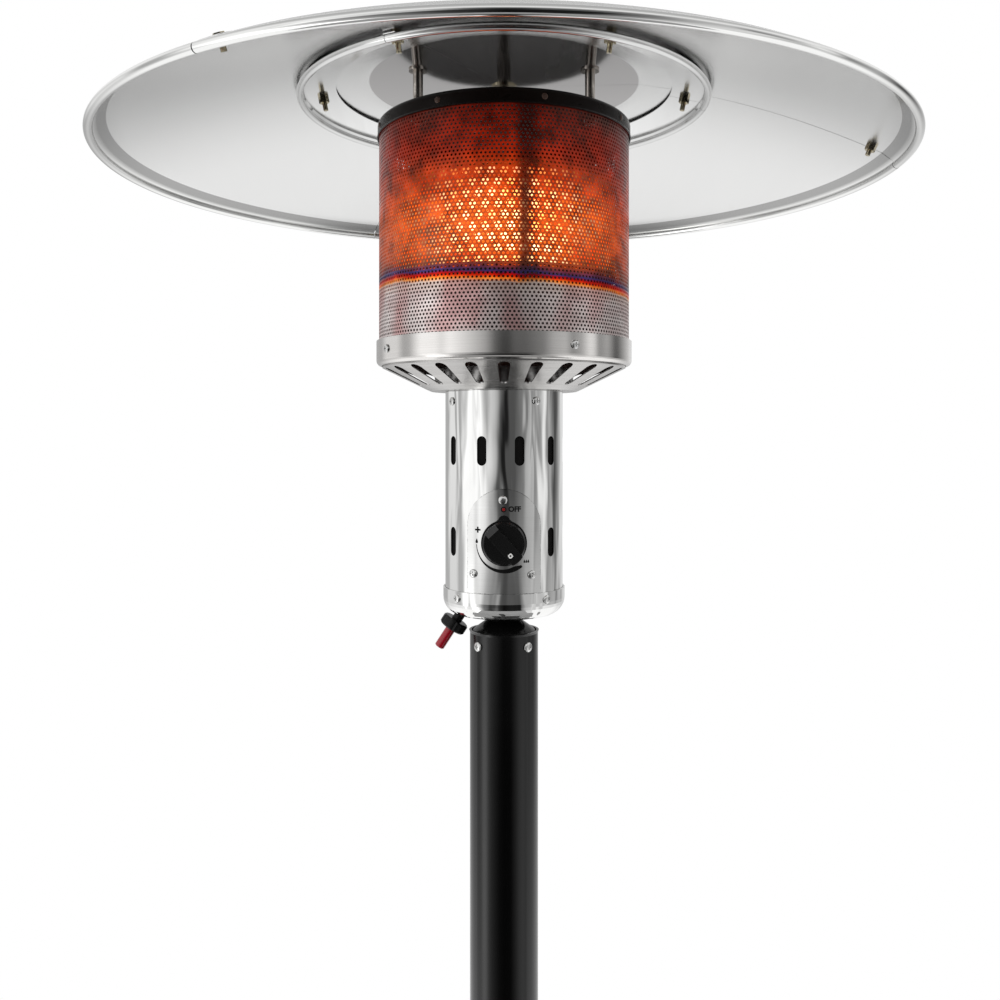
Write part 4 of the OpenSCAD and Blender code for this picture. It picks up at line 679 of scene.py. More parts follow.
class MeshBench:
    """Small mesh jobs that several sub-assemblies share."""

    @staticmethod
    def finish(bm: Mesh, name: str, body: str, slot: str, finishes: Sequence[Material],
               smooth_angle: float = 35.0) -> bpy.types.Object:
        """Makes a finished piece of a bmesh, at the origin, riding on its body.

        Args:
            bm: the mesh, freed here.
            name: the piece's name.
            body: the body that it moves with.
            slot: the record's material slot; not used.
            finishes: its materials in the order of the material indices.
            smooth_angle: edges sharper than this stay sharp, in degrees.

        Returns:
            The piece.
        """
        mesh = bpy.data.meshes.new(name)
        bm.to_mesh(mesh)
        bm.free()
        for material in finishes:
            mesh.materials.append(material)
        mesh.shade_smooth()
        mesh.set_sharp_from_angle(angle=math.radians(smooth_angle))
        piece = placed(name, mesh)
        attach(piece, body)
        LOG.info("%s: %d faces on %s", name, len(mesh.polygons), body)
        return piece

    @staticmethod
    def verts_of(geom: Sequence[object]) -> List[bmesh.types.BMVert]:
        """Picks the vertices out of an operator's result."""
        return [e for e in geom if isinstance(e, bmesh.types.BMVert)]

    @staticmethod
    def spun(bm: Mesh, outline: Sequence[Point], closed: bool = False, start: float = 0.0,
             sweep: float = math.tau, steps: int = 96) -> None:
        """Spins an outline round the post's axis, with caps where a closed one stops on the way.

        Args:
            bm: the mesh to add to.
            outline: pairs of radius and height.
            closed: whether its last point joins its first.
            start: the plan angle where it starts, in radians.
            sweep: how far it goes, in radians.
            steps: the number of steps.
        """
        made = [bm.verts.new((radius, 0.0, height)) for radius, height in outline]
        ends = made[1:] + made[:1] if closed else made[1:]
        edges = [bm.edges.new(pair) for pair in zip(made, ends)]
        bmesh.ops.rotate(bm, verts=made, cent=(0, 0, 0), matrix=Matrix.Rotation(start, 3, "Z"))
        whole = sweep > math.tau - 0.001
        capped = closed and not whole
        if capped:
            bm.faces.new(made)
        last = bmesh.ops.spin(bm, geom=made + edges, cent=(0, 0, 0), axis=(0, 0, 1), dvec=(0, 0, 0),
                              angle=sweep, steps=steps, use_merge=whole,
                              use_duplicate=False)["geom_last"]
        if capped:
            rim = [e for e in last if isinstance(e, bmesh.types.BMEdge)]
            bmesh.ops.holes_fill(bm, edges=rim, sides=0)

    @staticmethod
    def wrap(bm: Mesh, radius: float, start: float, lift: float) -> None:
        """Bends a flat sheet, X across and Y up, round the post's axis with its face outwards.

        Args:
            bm: the flat mesh.
            radius: the radius that it takes.
            start: the plan angle of its X = 0, in radians.
            lift: the height of its Y = 0.
        """
        for vert in bm.verts:
            angle = start + vert.co.x / radius
            reach = radius + vert.co.z
            vert.co = Vector((reach * math.cos(angle), reach * math.sin(angle), vert.co.y + lift))
        bm.normal_update()
        facing = sum(f.normal.dot(Vector((f.calc_center_median().x, f.calc_center_median().y, 0.0)))
                     for f in list(bm.faces)[:40])
        if facing < 0.0:
            bmesh.ops.reverse_faces(bm, faces=bm.faces[:])

    @staticmethod
    def honeycomb(columns: int, rows: int, pitch: float) -> Mesh:
        """Makes a flat sheet of hexagonal cells in staggered rows.

        Args:
            columns: cells in a row.
            rows: the number of rows.
            pitch: the distance between neighbours.

        Returns:
            The sheet, X across from 0 and Y up from 0.
        """
        bm = bmesh.new()
        bmesh.ops.create_circle(bm, cap_ends=True, radius=pitch / math.sqrt(3.0), segments=6)
        across = [(column * pitch, 0.0, 0.0) for column in range(1, columns)]
        up = [(pitch * 0.5 * (row % 2), row * pitch * math.sqrt(0.75), 0.0) for row in range(1, rows)]
        for shifts in (across, up):
            seed = bm.verts[:] + bm.edges[:] + bm.faces[:]
            for shift in shifts:
                copy = bmesh.ops.duplicate(bm, geom=seed)["geom"]
                bmesh.ops.translate(bm, verts=MeshBench.verts_of(copy), vec=shift)
        bmesh.ops.remove_doubles(bm, verts=bm.verts[:], dist=pitch * 0.02)
        return bm


@dataclass
class LappedPanels:
    """A reflector's sheet in three lapped thirds, each with its own length of the rolled edge bead."""

    node: str
    path: Sequence[Point]
    lap_path: Sequence[Point]
    bead_at: Point
    bead_reach: float
    seam: float
    bead_sides: int = 20
    sheet: float = 0.0008
    lap: float = 0.00005
    butt: float = math.radians(1.0)
    lap_back: float = math.radians(2.0)
    lap_hold: float = math.radians(1.5)
    lap_steps: int = 4
    gap: float = math.radians(0.16)
    third: float = math.tau / 3
    steps: int = 90

    def build(self, finish: Material) -> None:
        """Builds the three panels.

        Args:
            finish: the sheet's finish.
        """
        across, up = self.bead_at
        turns = [math.tau * i / self.bead_sides for i in range(self.bead_sides)]
        bead = [(across + self.bead_reach * math.cos(a), up + self.bead_reach * math.sin(a)) for a in turns]
        sheet = self._layer(self.path, 0.0, self.sheet)
        lap = self._layer(self.lap_path, self.sheet + self.lap, 2 * self.sheet + self.lap)
        for number in range(3):
            bm = bmesh.new()
            start = math.radians(self.seam) + self.butt + self.third * number
            for outline, first, sweep, steps in (
                    (sheet, start, self.third - self.gap, self.steps),
                    (lap, start - self.lap_back, self.lap_back + self.lap_hold, self.lap_steps),
                    (bead, start, self.third - self.gap, self.steps)):
                MeshBench.spun(bm, outline, True, first, sweep, steps)
            bmesh.ops.recalc_face_normals(bm, faces=bm.faces[:])
            name = f"{self.node}_sheet_{number + 1}"
            piece = MeshBench.finish(bm, name, "stand", "reflector_steel", [finish], 25.0)
            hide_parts(f"{self.node}_{number + 1}")

    @staticmethod
    def _layer(path: Sequence[Point], low: float, high: float) -> List[Point]:
        """Gives the outline of a sheet that lies between two distances over a path.

        Args:
            path: pairs of radius and height, from the middle outwards.
            low: the sheet's underside over the path.
            high: its upper side over the path.

        Returns:
            The closed outline.
        """
        points = [Vector(p) for p in path]
        lefts = []
        for i, point in enumerate(points):
            before = (point - points[max(i - 1, 0)]).normalized()
            after = (points[min(i + 1, len(points) - 1)] - point).normalized()
            along = (before + after).normalized()
            lean = max(before.dot(along), after.dot(along))
            lefts.append(Vector((-along.y, along.x)) / lean)
        under, over = [[p + left * side for p, left in zip(points, lefts)] for side in (low, high)]
        return [tuple(p) for p in under + over[::-1]]


@dataclass
class EmitterScreen:
    """The perforated screen round the burner, in three sectors of real holes."""

    radius: float = 0.1294
    wall: float = 0.0008
    foot: float = 1.9088
    foot_gap: float = 0.0002
    columns: int = 198
    sectors: int = 3
    rows: int = 67
    plain_below: int = 5
    plain_above: int = 3
    hole_reach: float = 0.00115
    seam_angle: float = math.radians(-80.3)

    def build(self, finish: Material) -> None:
        """Builds the sectors: cells, holes, bend and wall.

        Args:
            finish: the heated steel.
        """
        pitch = math.tau * self.radius / self.columns
        row_step = pitch * math.sqrt(0.75)
        low = (self.plain_below - 0.5) * row_step
        high = (self.rows - self.plain_above - 0.5) * row_step
        for sector in range(self.sectors):
            bm = MeshBench.honeycomb(self.columns // self.sectors, self.rows, pitch)
            open_cells = [f for f in bm.faces if low < f.calc_center_median().y < high]
            bmesh.ops.inset_individual(bm, faces=open_cells, thickness=pitch / 2 - self.hole_reach,
                                       depth=0.0, use_even_offset=True)
            bmesh.ops.delete(bm, geom=open_cells, context="FACES")
            start = self.seam_angle + math.tau * sector / self.sectors
            MeshBench.wrap(bm, self.radius, start, self.foot + pitch / math.sqrt(3.0) + self.foot_gap)
            bmesh.ops.solidify(bm, geom=bm.faces[:], thickness=self.wall)
            piece = MeshBench.finish(bm, f"screen_sector_{sector + 1}", "stand", "screen_steel", [finish])
            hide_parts("emitter_screen")


@dataclass
class BurnerDrum:
    """The burner drum inside the screen: a ported wall between a lid and a foot ring."""

    radius: float = 0.1154
    foot: float = 1.9901
    head: float = 2.0961
    neck: float = 0.0186
    columns: int = 60
    rows: int = 9
    rows_from: float = 0.0068
    port_reach: float = 0.0039
    port_depth: float = 0.0022
    port_round: float = 0.33
    port_slope: float = 0.0005
    lid_over: float = 0.0004

    def build(self, wall: Material, port: Material, lid: Material) -> None:
        """Builds the drum.

        Args:
            wall: the glowing wall.
            port: the white-hot ports.
            lid: the darker ends.
        """
        pitch = math.tau * self.radius / self.columns
        bm = MeshBench.honeycomb(self.columns, self.rows, pitch)
        cells = bm.faces[:]
        bmesh.ops.inset_individual(bm, faces=cells, thickness=pitch / 2 - self.port_reach, depth=0.0,
                                   use_even_offset=True)
        rims = list({v for f in cells for v in f.verts})
        bmesh.ops.bevel(bm, geom=rims, affect="VERTICES", offset=self.port_reach * self.port_round,
                        segments=1, profile=0.5, material=-1, offset_type="OFFSET")
        ports = [f for f in bm.faces if len(f.verts) >= 12 and f.calc_area() < pitch * pitch * 0.5]
        sunk = bmesh.ops.inset_individual(bm, faces=ports, thickness=self.port_slope,
                                          depth=-self.port_depth)
        for face in ports + sunk["faces"]:
            face.material_index = 1
        MeshBench.wrap(bm, self.radius, 0.0, self.foot + self.rows_from)
        marked = set(bm.faces[:])
        top, low, r = self.head, self.foot, self.radius + self.lid_over
        MeshBench.spun(bm, [(0.004, top - 0.0012), (0.03, top - 0.0004), (r - 0.004, top - 0.0004),
                            (r - 0.0012, top - 0.0012), (r, top - 0.004), (r, top - 0.0062)])
        MeshBench.spun(bm, [(r, low + 0.0052), (r, low + 0.003), (r - 0.0012, low + 0.0008),
                            (r - 0.004, low + 0.0002), (self.neck, low + 0.0002)])
        for face in bm.faces:
            if face not in marked:
                face.material_index = 2
        piece = MeshBench.finish(bm, "burner_drum_ported", "stand", "drum_glow", [wall, port, lid])
        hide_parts("burner_drum")


@dataclass
class FootLiner:
    """The plain liner inside the screen's foot, which keeps its lowest band cool."""

    radius: float = 0.1246
    wall: float = 0.0008
    foot: float = 1.9030
    head: float = 1.9791
    steps: int = 120

    def build(self, finish: Material) -> None:
        """Builds the liner: a tube with rounded ends.

        Args:
            finish: its dark, heated steel.
        """
        r, low, top = self.radius, self.foot, self.head
        bm = bmesh.new()
        MeshBench.spun(bm, [(r - self.wall, low + 0.0002), (r - 0.0002, low), (r, low + 0.0004),
                            (r, low + 0.010), (r, low + 0.040), (r, top - 0.0006), (r - 0.0002, top),
                            (r - self.wall + 0.0001, top - 0.0002), (r - self.wall, top - 0.0008)],
                       True, steps=self.steps)
        bmesh.ops.recalc_face_normals(bm, faces=bm.faces[:])
        piece = MeshBench.finish(bm, "screen_liner", "stand", "screen_steel", [finish])
        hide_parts("emitter_screen")


@dataclass
class TubeShadeSheets:
    """Dark sheets inside the control tube, a painted shade so that its slots read dark: all round above, not
    in front below.
    """

    radius: float = 0.0594
    wall: float = 0.0004
    steps: int = 72
    bands: Sequence[Tuple[str, float, float, float, float]] = (
        ("tube_shade_sheet_upper", 1.7970, 1.8380, 0.0, math.tau),
        ("tube_shade_sheet_lower", 1.7040, 1.7480, math.radians(-43.0), math.radians(266.0)))

    def build(self, finish: Material) -> None:
        """Builds the two bands of name, foot, head, start and sweep, with a hem along each edge.

        Args:
            finish: their black, a painted shade.
        """
        r, hem = self.radius, self.radius - self.wall
        for name, low, top, start, sweep in self.bands:
            bm = bmesh.new()
            MeshBench.spun(bm, [(hem, low), (r, low), (r, low + 0.002), (r - 0.0001, low + 0.003),
                                (r - 0.0001, top - 0.003), (r, top - 0.002), (r, top), (hem, top)],
                           True, start, sweep, self.steps)
            bmesh.ops.recalc_face_normals(bm, faces=bm.faces[:])
            MeshBench.finish(bm, name, "stand", "black_steel", [finish])


@dataclass
class DialMarks:
    """The marks printed on the dial plate round the knob."""

    plate_radius: float = 0.06225
    knob_z: float = 1.7270
    film: float = 0.0001
    dot_at: Point = (-0.0004, 0.0328)
    dots: Sequence[Tuple[float, float, int]] = ((0.0028, 0.0017, 0), (0.0015, 0.0, 1))
    off_height: float = 0.0052
    off_at: Point = (0.0106, 0.0329)
    plus_reach: float = 0.0030
    plus_at: Point = (-0.0268, 0.0125)
    flames: Sequence[Tuple[float, float, float]] = (
        (-0.0279, 0.0012, 0.0024), (0.0226 - 0.0021, -0.0186, 0.0017), (0.0226, -0.0186, 0.0017),
        (0.0226 + 0.0021, -0.0186, 0.0017))
    arc_radius: float = 0.0285
    arc_from: float = math.radians(184.0)
    arc_sweep: float = math.radians(124.0)
    arc_steps: int = 40
    arc_swell: float = 0.0017
    arc_thin: float = 0.0006
    arc_thick: float = 0.0054
    longest_edge: float = 0.002

    def build(self, black: Material, red: Material) -> None:
        """Builds all the marks as one thin printed piece.

        Args:
            black: the printing ink.
            red: the ink of the off mark.
        """
        bm = bmesh.new()
        for outer, inner, ink in self.dots:
            self._join(bm, self._dot(outer, inner), self.dot_at, ink)
        self._join(bm, self._word("OFF", self.off_height), self.off_at)
        self._join(bm, self._plus(self.plus_reach), self.plus_at)
        for across, up, size in self.flames:
            self._join(bm, self._flame(size), (across, up - size * 0.25))
        self._join(bm, self._arc(), (0.0, 0.0))
        bmesh.ops.triangulate(bm, faces=bm.faces[:])
        long_edges = [e for e in bm.edges if e.calc_length() > self.longest_edge]
        bmesh.ops.subdivide_edges(bm, edges=long_edges, cuts=1)
        MeshBench.wrap(bm, self.plate_radius + self.film, -math.pi / 2, self.knob_z)
        MeshBench.finish(bm, "dial_marks", "stand", "black_plastic", [black, red])

    @staticmethod
    def _join(bm: Mesh, part: Mesh, centre: Point, ink: int = 0) -> None:
        """Moves one flat mark to its place and joins it to the rest.

        Args:
            bm: the marks.
            part: the new mark, freed here.
            centre: its place, across and up from the knob's axis.
            ink: its material index.
        """
        bmesh.ops.translate(part, verts=part.verts[:], vec=(*centre, 0.0))
        part.normal_update()
        for face in part.faces:
            face.material_index = ink
            if face.normal.z < 0.0:
                face.normal_flip()
        mesh = bpy.data.meshes.new("mark")
        part.to_mesh(mesh)
        part.free()
        bm.from_mesh(mesh)
        bpy.data.meshes.remove(mesh)

    @staticmethod
    def _dot(outer: float, inner: float) -> Mesh:
        """Draws a dot, or a ring.

        Args:
            outer: its radius.
            inner: the radius of the ring's hole, or 0.

        Returns:
            The flat mark.
        """
        part = bmesh.new()
        bmesh.ops.create_circle(part, cap_ends=True, radius=outer, segments=24)
        if inner:
            face = part.faces[:]
            bmesh.ops.inset_individual(part, faces=face, thickness=outer - inner)
            bmesh.ops.delete(part, geom=face, context="FACES")
        return part

    @staticmethod
    def _word(text: str, height: float) -> Mesh:
        """Draws a short word.

        Args:
            text: the letters.
            height: the letters' height.

        Returns:
            The flat letters.
        """
        curve = bpy.data.curves.new("word", "FONT")
        curve.body, curve.size, curve.offset = text, height * 1.37, height * 0.06
        curve.align_x = curve.align_y = "CENTER"
        curve.resolution_u = 4
        holder = placed("word", curve)
        bpy.context.view_layer.update()
        graph = bpy.context.evaluated_depsgraph_get()
        mesh = bpy.data.meshes.new_from_object(holder.evaluated_get(graph))
        part = bmesh.new()
        part.from_mesh(mesh)
        bpy.data.objects.remove(holder)
        bpy.data.meshes.remove(mesh)
        return part

    @staticmethod
    def _plus(reach: float) -> Mesh:
        """Draws a plus sign of three squares in a row and one each side.

        Args:
            reach: half of its width.

        Returns:
            The flat mark.
        """
        arm = reach * 0.28
        part = bmesh.new()
        bmesh.ops.create_grid(part, x_segments=1, y_segments=1, size=arm)
        for edge in part.edges[:]:
            middle = (edge.verts[0].co + edge.verts[1].co) / 2
            out = bmesh.ops.extrude_edge_only(part, edges=[edge])["geom"]
            bmesh.ops.translate(part, verts=MeshBench.verts_of(out), vec=middle.normalized() * (reach - arm))
        return part

    @staticmethod
    def _flame(size: float) -> Mesh:
        """Draws a small flame: a drop with its tip up.

        Args:
            size: half of its height.

        Returns:
            The flat mark.
        """
        part = bmesh.new()
        bmesh.ops.create_circle(part, cap_ends=True, radius=size * 0.6, segments=16)
        for vert in part.verts:
            rise = max(0.0, vert.co.y / (size * 0.6))
            vert.co.y += size * 0.75 * rise ** 3
            vert.co.x *= 1.0 - 0.35 * rise
        return part

    def _arc(self) -> Mesh:
        """Draws the heat arc, which grows thicker from the low mark round the knob's foot.

        Returns:
            The flat mark.
        """
        part = bmesh.new()
        MeshBench.spun(part, [(self.arc_radius, 0.0), (self.arc_radius - 0.0004, 0.0)], False,
                       self.arc_from, self.arc_sweep, self.arc_steps)
        for vert in part.verts:
            angle = math.atan2(vert.co.y, vert.co.x) % math.tau
            share = max(0.0, min(1.0, (angle - self.arc_from) / self.arc_sweep))
            taper = 1.0 - max(0.0, share - 0.88) / 0.12 * 0.7
            outer = self.arc_radius + self.arc_swell * min(1.0, share * 1.25)
            thick = self.arc_thin + self.arc_thick * share ** 1.4 * taper
            inner = vert.co.length < self.arc_radius - 0.0002
            vert.co = vert.co.normalized() * (outer - (thick if inner else 0.0))
        return part


@dataclass
class KnobMark:
    """The white pointer dot on the knob's grip bar."""

    across: float = 0.0042
    corner: float = 0.28
    border: float = 0.3
    centre_x: float = 0.0062
    front: float = -0.08765
    film: float = 0.0001
    centre_z: float = 1.7172
    lean: float = math.radians(-48.0)

    def build(self, white: Material, dark: Material) -> None:
        """Builds the dot.

        Args:
            white: the printed dot.
            dark: its small middle.
        """
        bm = bmesh.new()
        bmesh.ops.create_grid(bm, x_segments=1, y_segments=1, size=self.across / 2)
        bmesh.ops.bevel(bm, geom=bm.verts[:], affect="VERTICES", offset=self.across * self.corner,
                        segments=4, profile=0.5, material=-1)
        face = bm.faces[:]
        bmesh.ops.inset_individual(bm, faces=face, thickness=self.across * self.border)
        face[0].material_index = 1
        bmesh.ops.transform(bm, verts=bm.verts[:], matrix=(
            Matrix.Translation((self.centre_x, self.front - self.film, self.centre_z))
            @ Matrix.Rotation(math.pi / 2, 4, "X") @ Matrix.Rotation(self.lean, 4, "Z")))
        bm.normal_update()
        bmesh.ops.reverse_faces(bm, faces=[f for f in bm.faces if f.normal.y > 0.0])
        MeshBench.finish(bm, "knob_mark", "knob", "black_plastic", [white, dark])


class Wardrobe:
    """Every finish of the heater, each with the CAD nodes that wear it."""

    RACK: Sequence[Tuple[Union[Metal, Paint, ReflectorSheet, ScreenFinish, GlowFinish], str]] = (
        (Paint("post_paint", 0.0012, 0.0024, 0.15, 0.20, mirror=0.46, skin=420.0, smears=0.05), "post"),
        (Paint("bell_paint", 0.003, 0.005, 0.16, 0.22, mirror=0.16, skin=500.0, smears=0.05),
         "post_bracket"),
        (Paint("frame_paint", (0.008, 0.008, 0.009), (0.013, 0.013, 0.014), 0.28, 0.38, mirror=0.4,
               skin=700.0, depth=0.00002, dusty=0.10, wear_and_edge_shading=0.35),
         "post_socket support_leg_1 support_leg_2 support_leg_3 wheel_bracket base_plate"),
        (Paint("housing_paint", (0.012, 0.012, 0.013), (0.018, 0.018, 0.019), 0.26, 0.36, coat=0.25,
               skin=600.0, depth=0.00002, dusty=0.08, wear_and_edge_shading=0.25), "tank_housing"),
        (Metal("cast_iron", (0.11, 0.105, 0.10), (0.06, 0.055, 0.05), 0.5, 0.75, Lines.CAST, 260.0,
               depth=0.0002, edges=0.3), "base_ballast"),
        (Metal("bright_zinc", (0.84, 0.84, 0.83), (0.62, 0.62, 0.61), 0.10, 0.20, Lines.CAST, 500.0,
               depth=0.000008, edges=0.4), "post_screws head_screws dial_screws collar_screws"),
        (Metal("stud_zinc", (0.58, 0.54, 0.50), (0.36, 0.33, 0.30), 0.12, 0.22, Lines.CAST, 420.0,
               depth=0.00001, edges=0.5), "reflector_studs stud_nuts"),
        (Metal("dull_zinc", (0.70, 0.71, 0.71), (0.48, 0.49, 0.50), 0.24, 0.40, Lines.CAST, 420.0,
               depth=0.00001, edges=0.4),
         "foot_bolts socket_bolts axle axle_caps valve_pushrod valve_spindle valve_bracket"),
        (Metal("yellow_zinc", (0.56, 0.50, 0.36), (0.26, 0.22, 0.14), 0.10, 0.20, Lines.CAST, 380.0,
               depth=0.00001, edges=0.5), "ring_spacers ring_bolts seam_bolts"),
        (Metal("mirror_steel", (0.88, 0.88, 0.87), (0.84, 0.84, 0.83), 0.02, 0.045, Lines.UPRIGHT, 900.0,
               14.0, depth=0.0000004, smears=0.04, wave=0.0026), "control_tube control_cup"),
        # The plate's dark edge tone is a painted shade outline along its edge.
        (Metal("plate_steel", (0.84, 0.84, 0.83), (0.76, 0.76, 0.75), 0.03, 0.05, Lines.LEVEL, 2600.0,
               30.0, depth=0.0000004, smears=0.04, edges=1.0, edge_shade_tone=0.04, edge_reach=0.0016,
               wave=0.0011), "dial_plate"),
        (Metal("collar_steel", (0.82, 0.80, 0.78), (0.74, 0.72, 0.70), 0.11, 0.16, Lines.RINGS, 900.0,
               9.0, depth=0.000001, smears=0.08), "screen_collar"),
        (Metal("pan_steel", (0.56, 0.55, 0.54), (0.44, 0.43, 0.42), 0.18, 0.28, Lines.RINGS, 900.0,
               9.0, depth=0.000002, edges=0.8), "burner_pan"),
        (ReflectorSheet("dome_sheet", (0.745, 0.745, 0.74), (0.737, 0.737, 0.732), 0.3945, 0.3985),
         "dome_panel_1 dome_panel_2 dome_panel_3"),
        (ReflectorSheet("ring_sheet", (0.82, 0.82, 0.815), (0.78, 0.78, 0.775), 0.2025, 0.2058,
                        gloss=0.12, haze=0.17, bead_tone=(0.68, 0.68, 0.675)),
         "ring_panel_1 ring_panel_2 ring_panel_3"),
        (Metal("burner_steel", (0.50, 0.46, 0.42), (0.30, 0.25, 0.22), 0.32, 0.50, Lines.UPRIGHT, 700.0,
               depth=0.00001), "mixing_tube pilot_burner"),
        (Metal("brass", (0.80, 0.60, 0.28), (0.58, 0.40, 0.16), 0.20, 0.36, Lines.CAST, 300.0,
               depth=0.00001, edges=0.5), "valve_body injector gas_inlet"),
        (Metal("copper", (0.82, 0.46, 0.30), (0.52, 0.26, 0.16), 0.22, 0.38, Lines.CAST, 260.0,
               depth=0.00001), "pilot_tube thermocouple supply_pipe"),
        (Paint("ceramic", (0.80, 0.78, 0.73), (0.70, 0.68, 0.62), 0.22, 0.34, coat=0.3, skin=800.0,
               smears=0.15), "spark_electrode"),
        (Paint("silicone", (0.40, 0.05, 0.035), (0.30, 0.035, 0.03), 0.45, 0.58), "ignition_lead"),
        (Paint("switch_plastic", (0.62, 0.61, 0.57), (0.54, 0.53, 0.49), 0.42, 0.55, skin=1100.0),
         "tilt_switch"),
        (Paint("satin_plastic", 0.004, 0.007, 0.22, 0.30, mirror=0.22, skin=1300.0, wear_and_edge_shading=0.3,
               wear_and_edge_shading_tone=0.06), "igniter_body igniter_nut housing_collar knob_bezel"),
        # The knob's pale edge tone is a painted highlight along its grip bar and rim.
        (Paint("knob_plastic", 0.004, 0.007, 0.05, 0.09, mirror=0.62, skin=1200.0, depth=0.000004,
               wear_and_edge_shading=0.3, wear_and_edge_shading_tone=0.10), "knob"),
        (Paint("red_button", (0.40, 0.006, 0.02), (0.28, 0.004, 0.014), 0.10, 0.16, coat=0.5,
               depth=0.000006), "igniter_button"),
        (Paint("wheel_plastic", (0.03, 0.03, 0.031), 0.045, 0.45, 0.6, skin=700.0, depth=0.00004,
               dusty=0.25, wear_and_edge_shading=0.4, wear_and_edge_shading_tone=0.12), "wheel_left wheel_right"),
        (Paint("cap_enamel", (0.004, 0.003, 0.0025), (0.008, 0.005, 0.004), 0.20, 0.30, mirror=0.10,
               skin=500.0, depth=0.00002, wear_and_edge_shading=0.25, wear_and_edge_shading_tone=(0.09, 0.06, 0.05)), "screen_cap"),
        (Paint("cap_rivet", (0.10, 0.05, 0.03), (0.05, 0.025, 0.018), 0.25, 0.40, mirror=0.4,
               skin=500.0, depth=0.00002, wear_and_edge_shading=0.5, wear_and_edge_shading_tone=(0.25, 0.12, 0.07)), "cap_rivets"),
        # This black is a painted shade for the inside of the control tube.
        (Paint("tube_shade_black", 0.004, (0.007, 0.006, 0.006), 0.7, 0.85, mirror=0.1, skin=300.0,
               depth=0.00002), ""),
        (Paint("ink_black", 0.004, 0.006, 0.4, 0.5, mirror=0.15, skin=3000.0), ""),
        (Paint("ink_red", (0.30, 0.012, 0.012), (0.22, 0.01, 0.01), 0.4, 0.5, mirror=0.15,
               skin=3000.0), ""),
        (Paint("ink_white", (0.88, 0.88, 0.86), (0.80, 0.80, 0.78), 0.35, 0.45, skin=3000.0), ""),
        (Metal("drum_lid", (0.20, 0.13, 0.10), (0.10, 0.07, 0.06), 0.5, 0.7, Lines.CAST, 240.0,
               depth=0.00003), ""),
        (Metal("liner_steel", (0.16, 0.13, 0.12), (0.09, 0.07, 0.065), 0.35, 0.5, Lines.LEVEL, 700.0,
               depth=0.00001), ""),
        (GlowFinish("drum_wall", (1.0, 0.16, 0.012), (0.85, 0.06, 0.004), 1.6, 0.13, 0.32, 0.32), ""),
        (GlowFinish("drum_port", (1.0, 0.64, 0.32), (1.0, 0.30, 0.06), 5.0, 0.030, 0.115, 0.10), ""),
        (ScreenFinish(), ""),
    )

    def __init__(self, effects: Effects) -> None:
        """Builds every finish with the shared effects."""
        self.finish: Dict[str, Material] = {f.name: f.material(effects) for f, _ in self.RACK}

    def dress(self) -> None:
        """Gives every CAD node its finish."""
        for finish, nodes in self.RACK:
            for name in nodes.split():
                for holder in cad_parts[name].material_slots:
                    holder.material = self.finish[finish.name]
                LOG.info("%s: %s", name, finish.name)


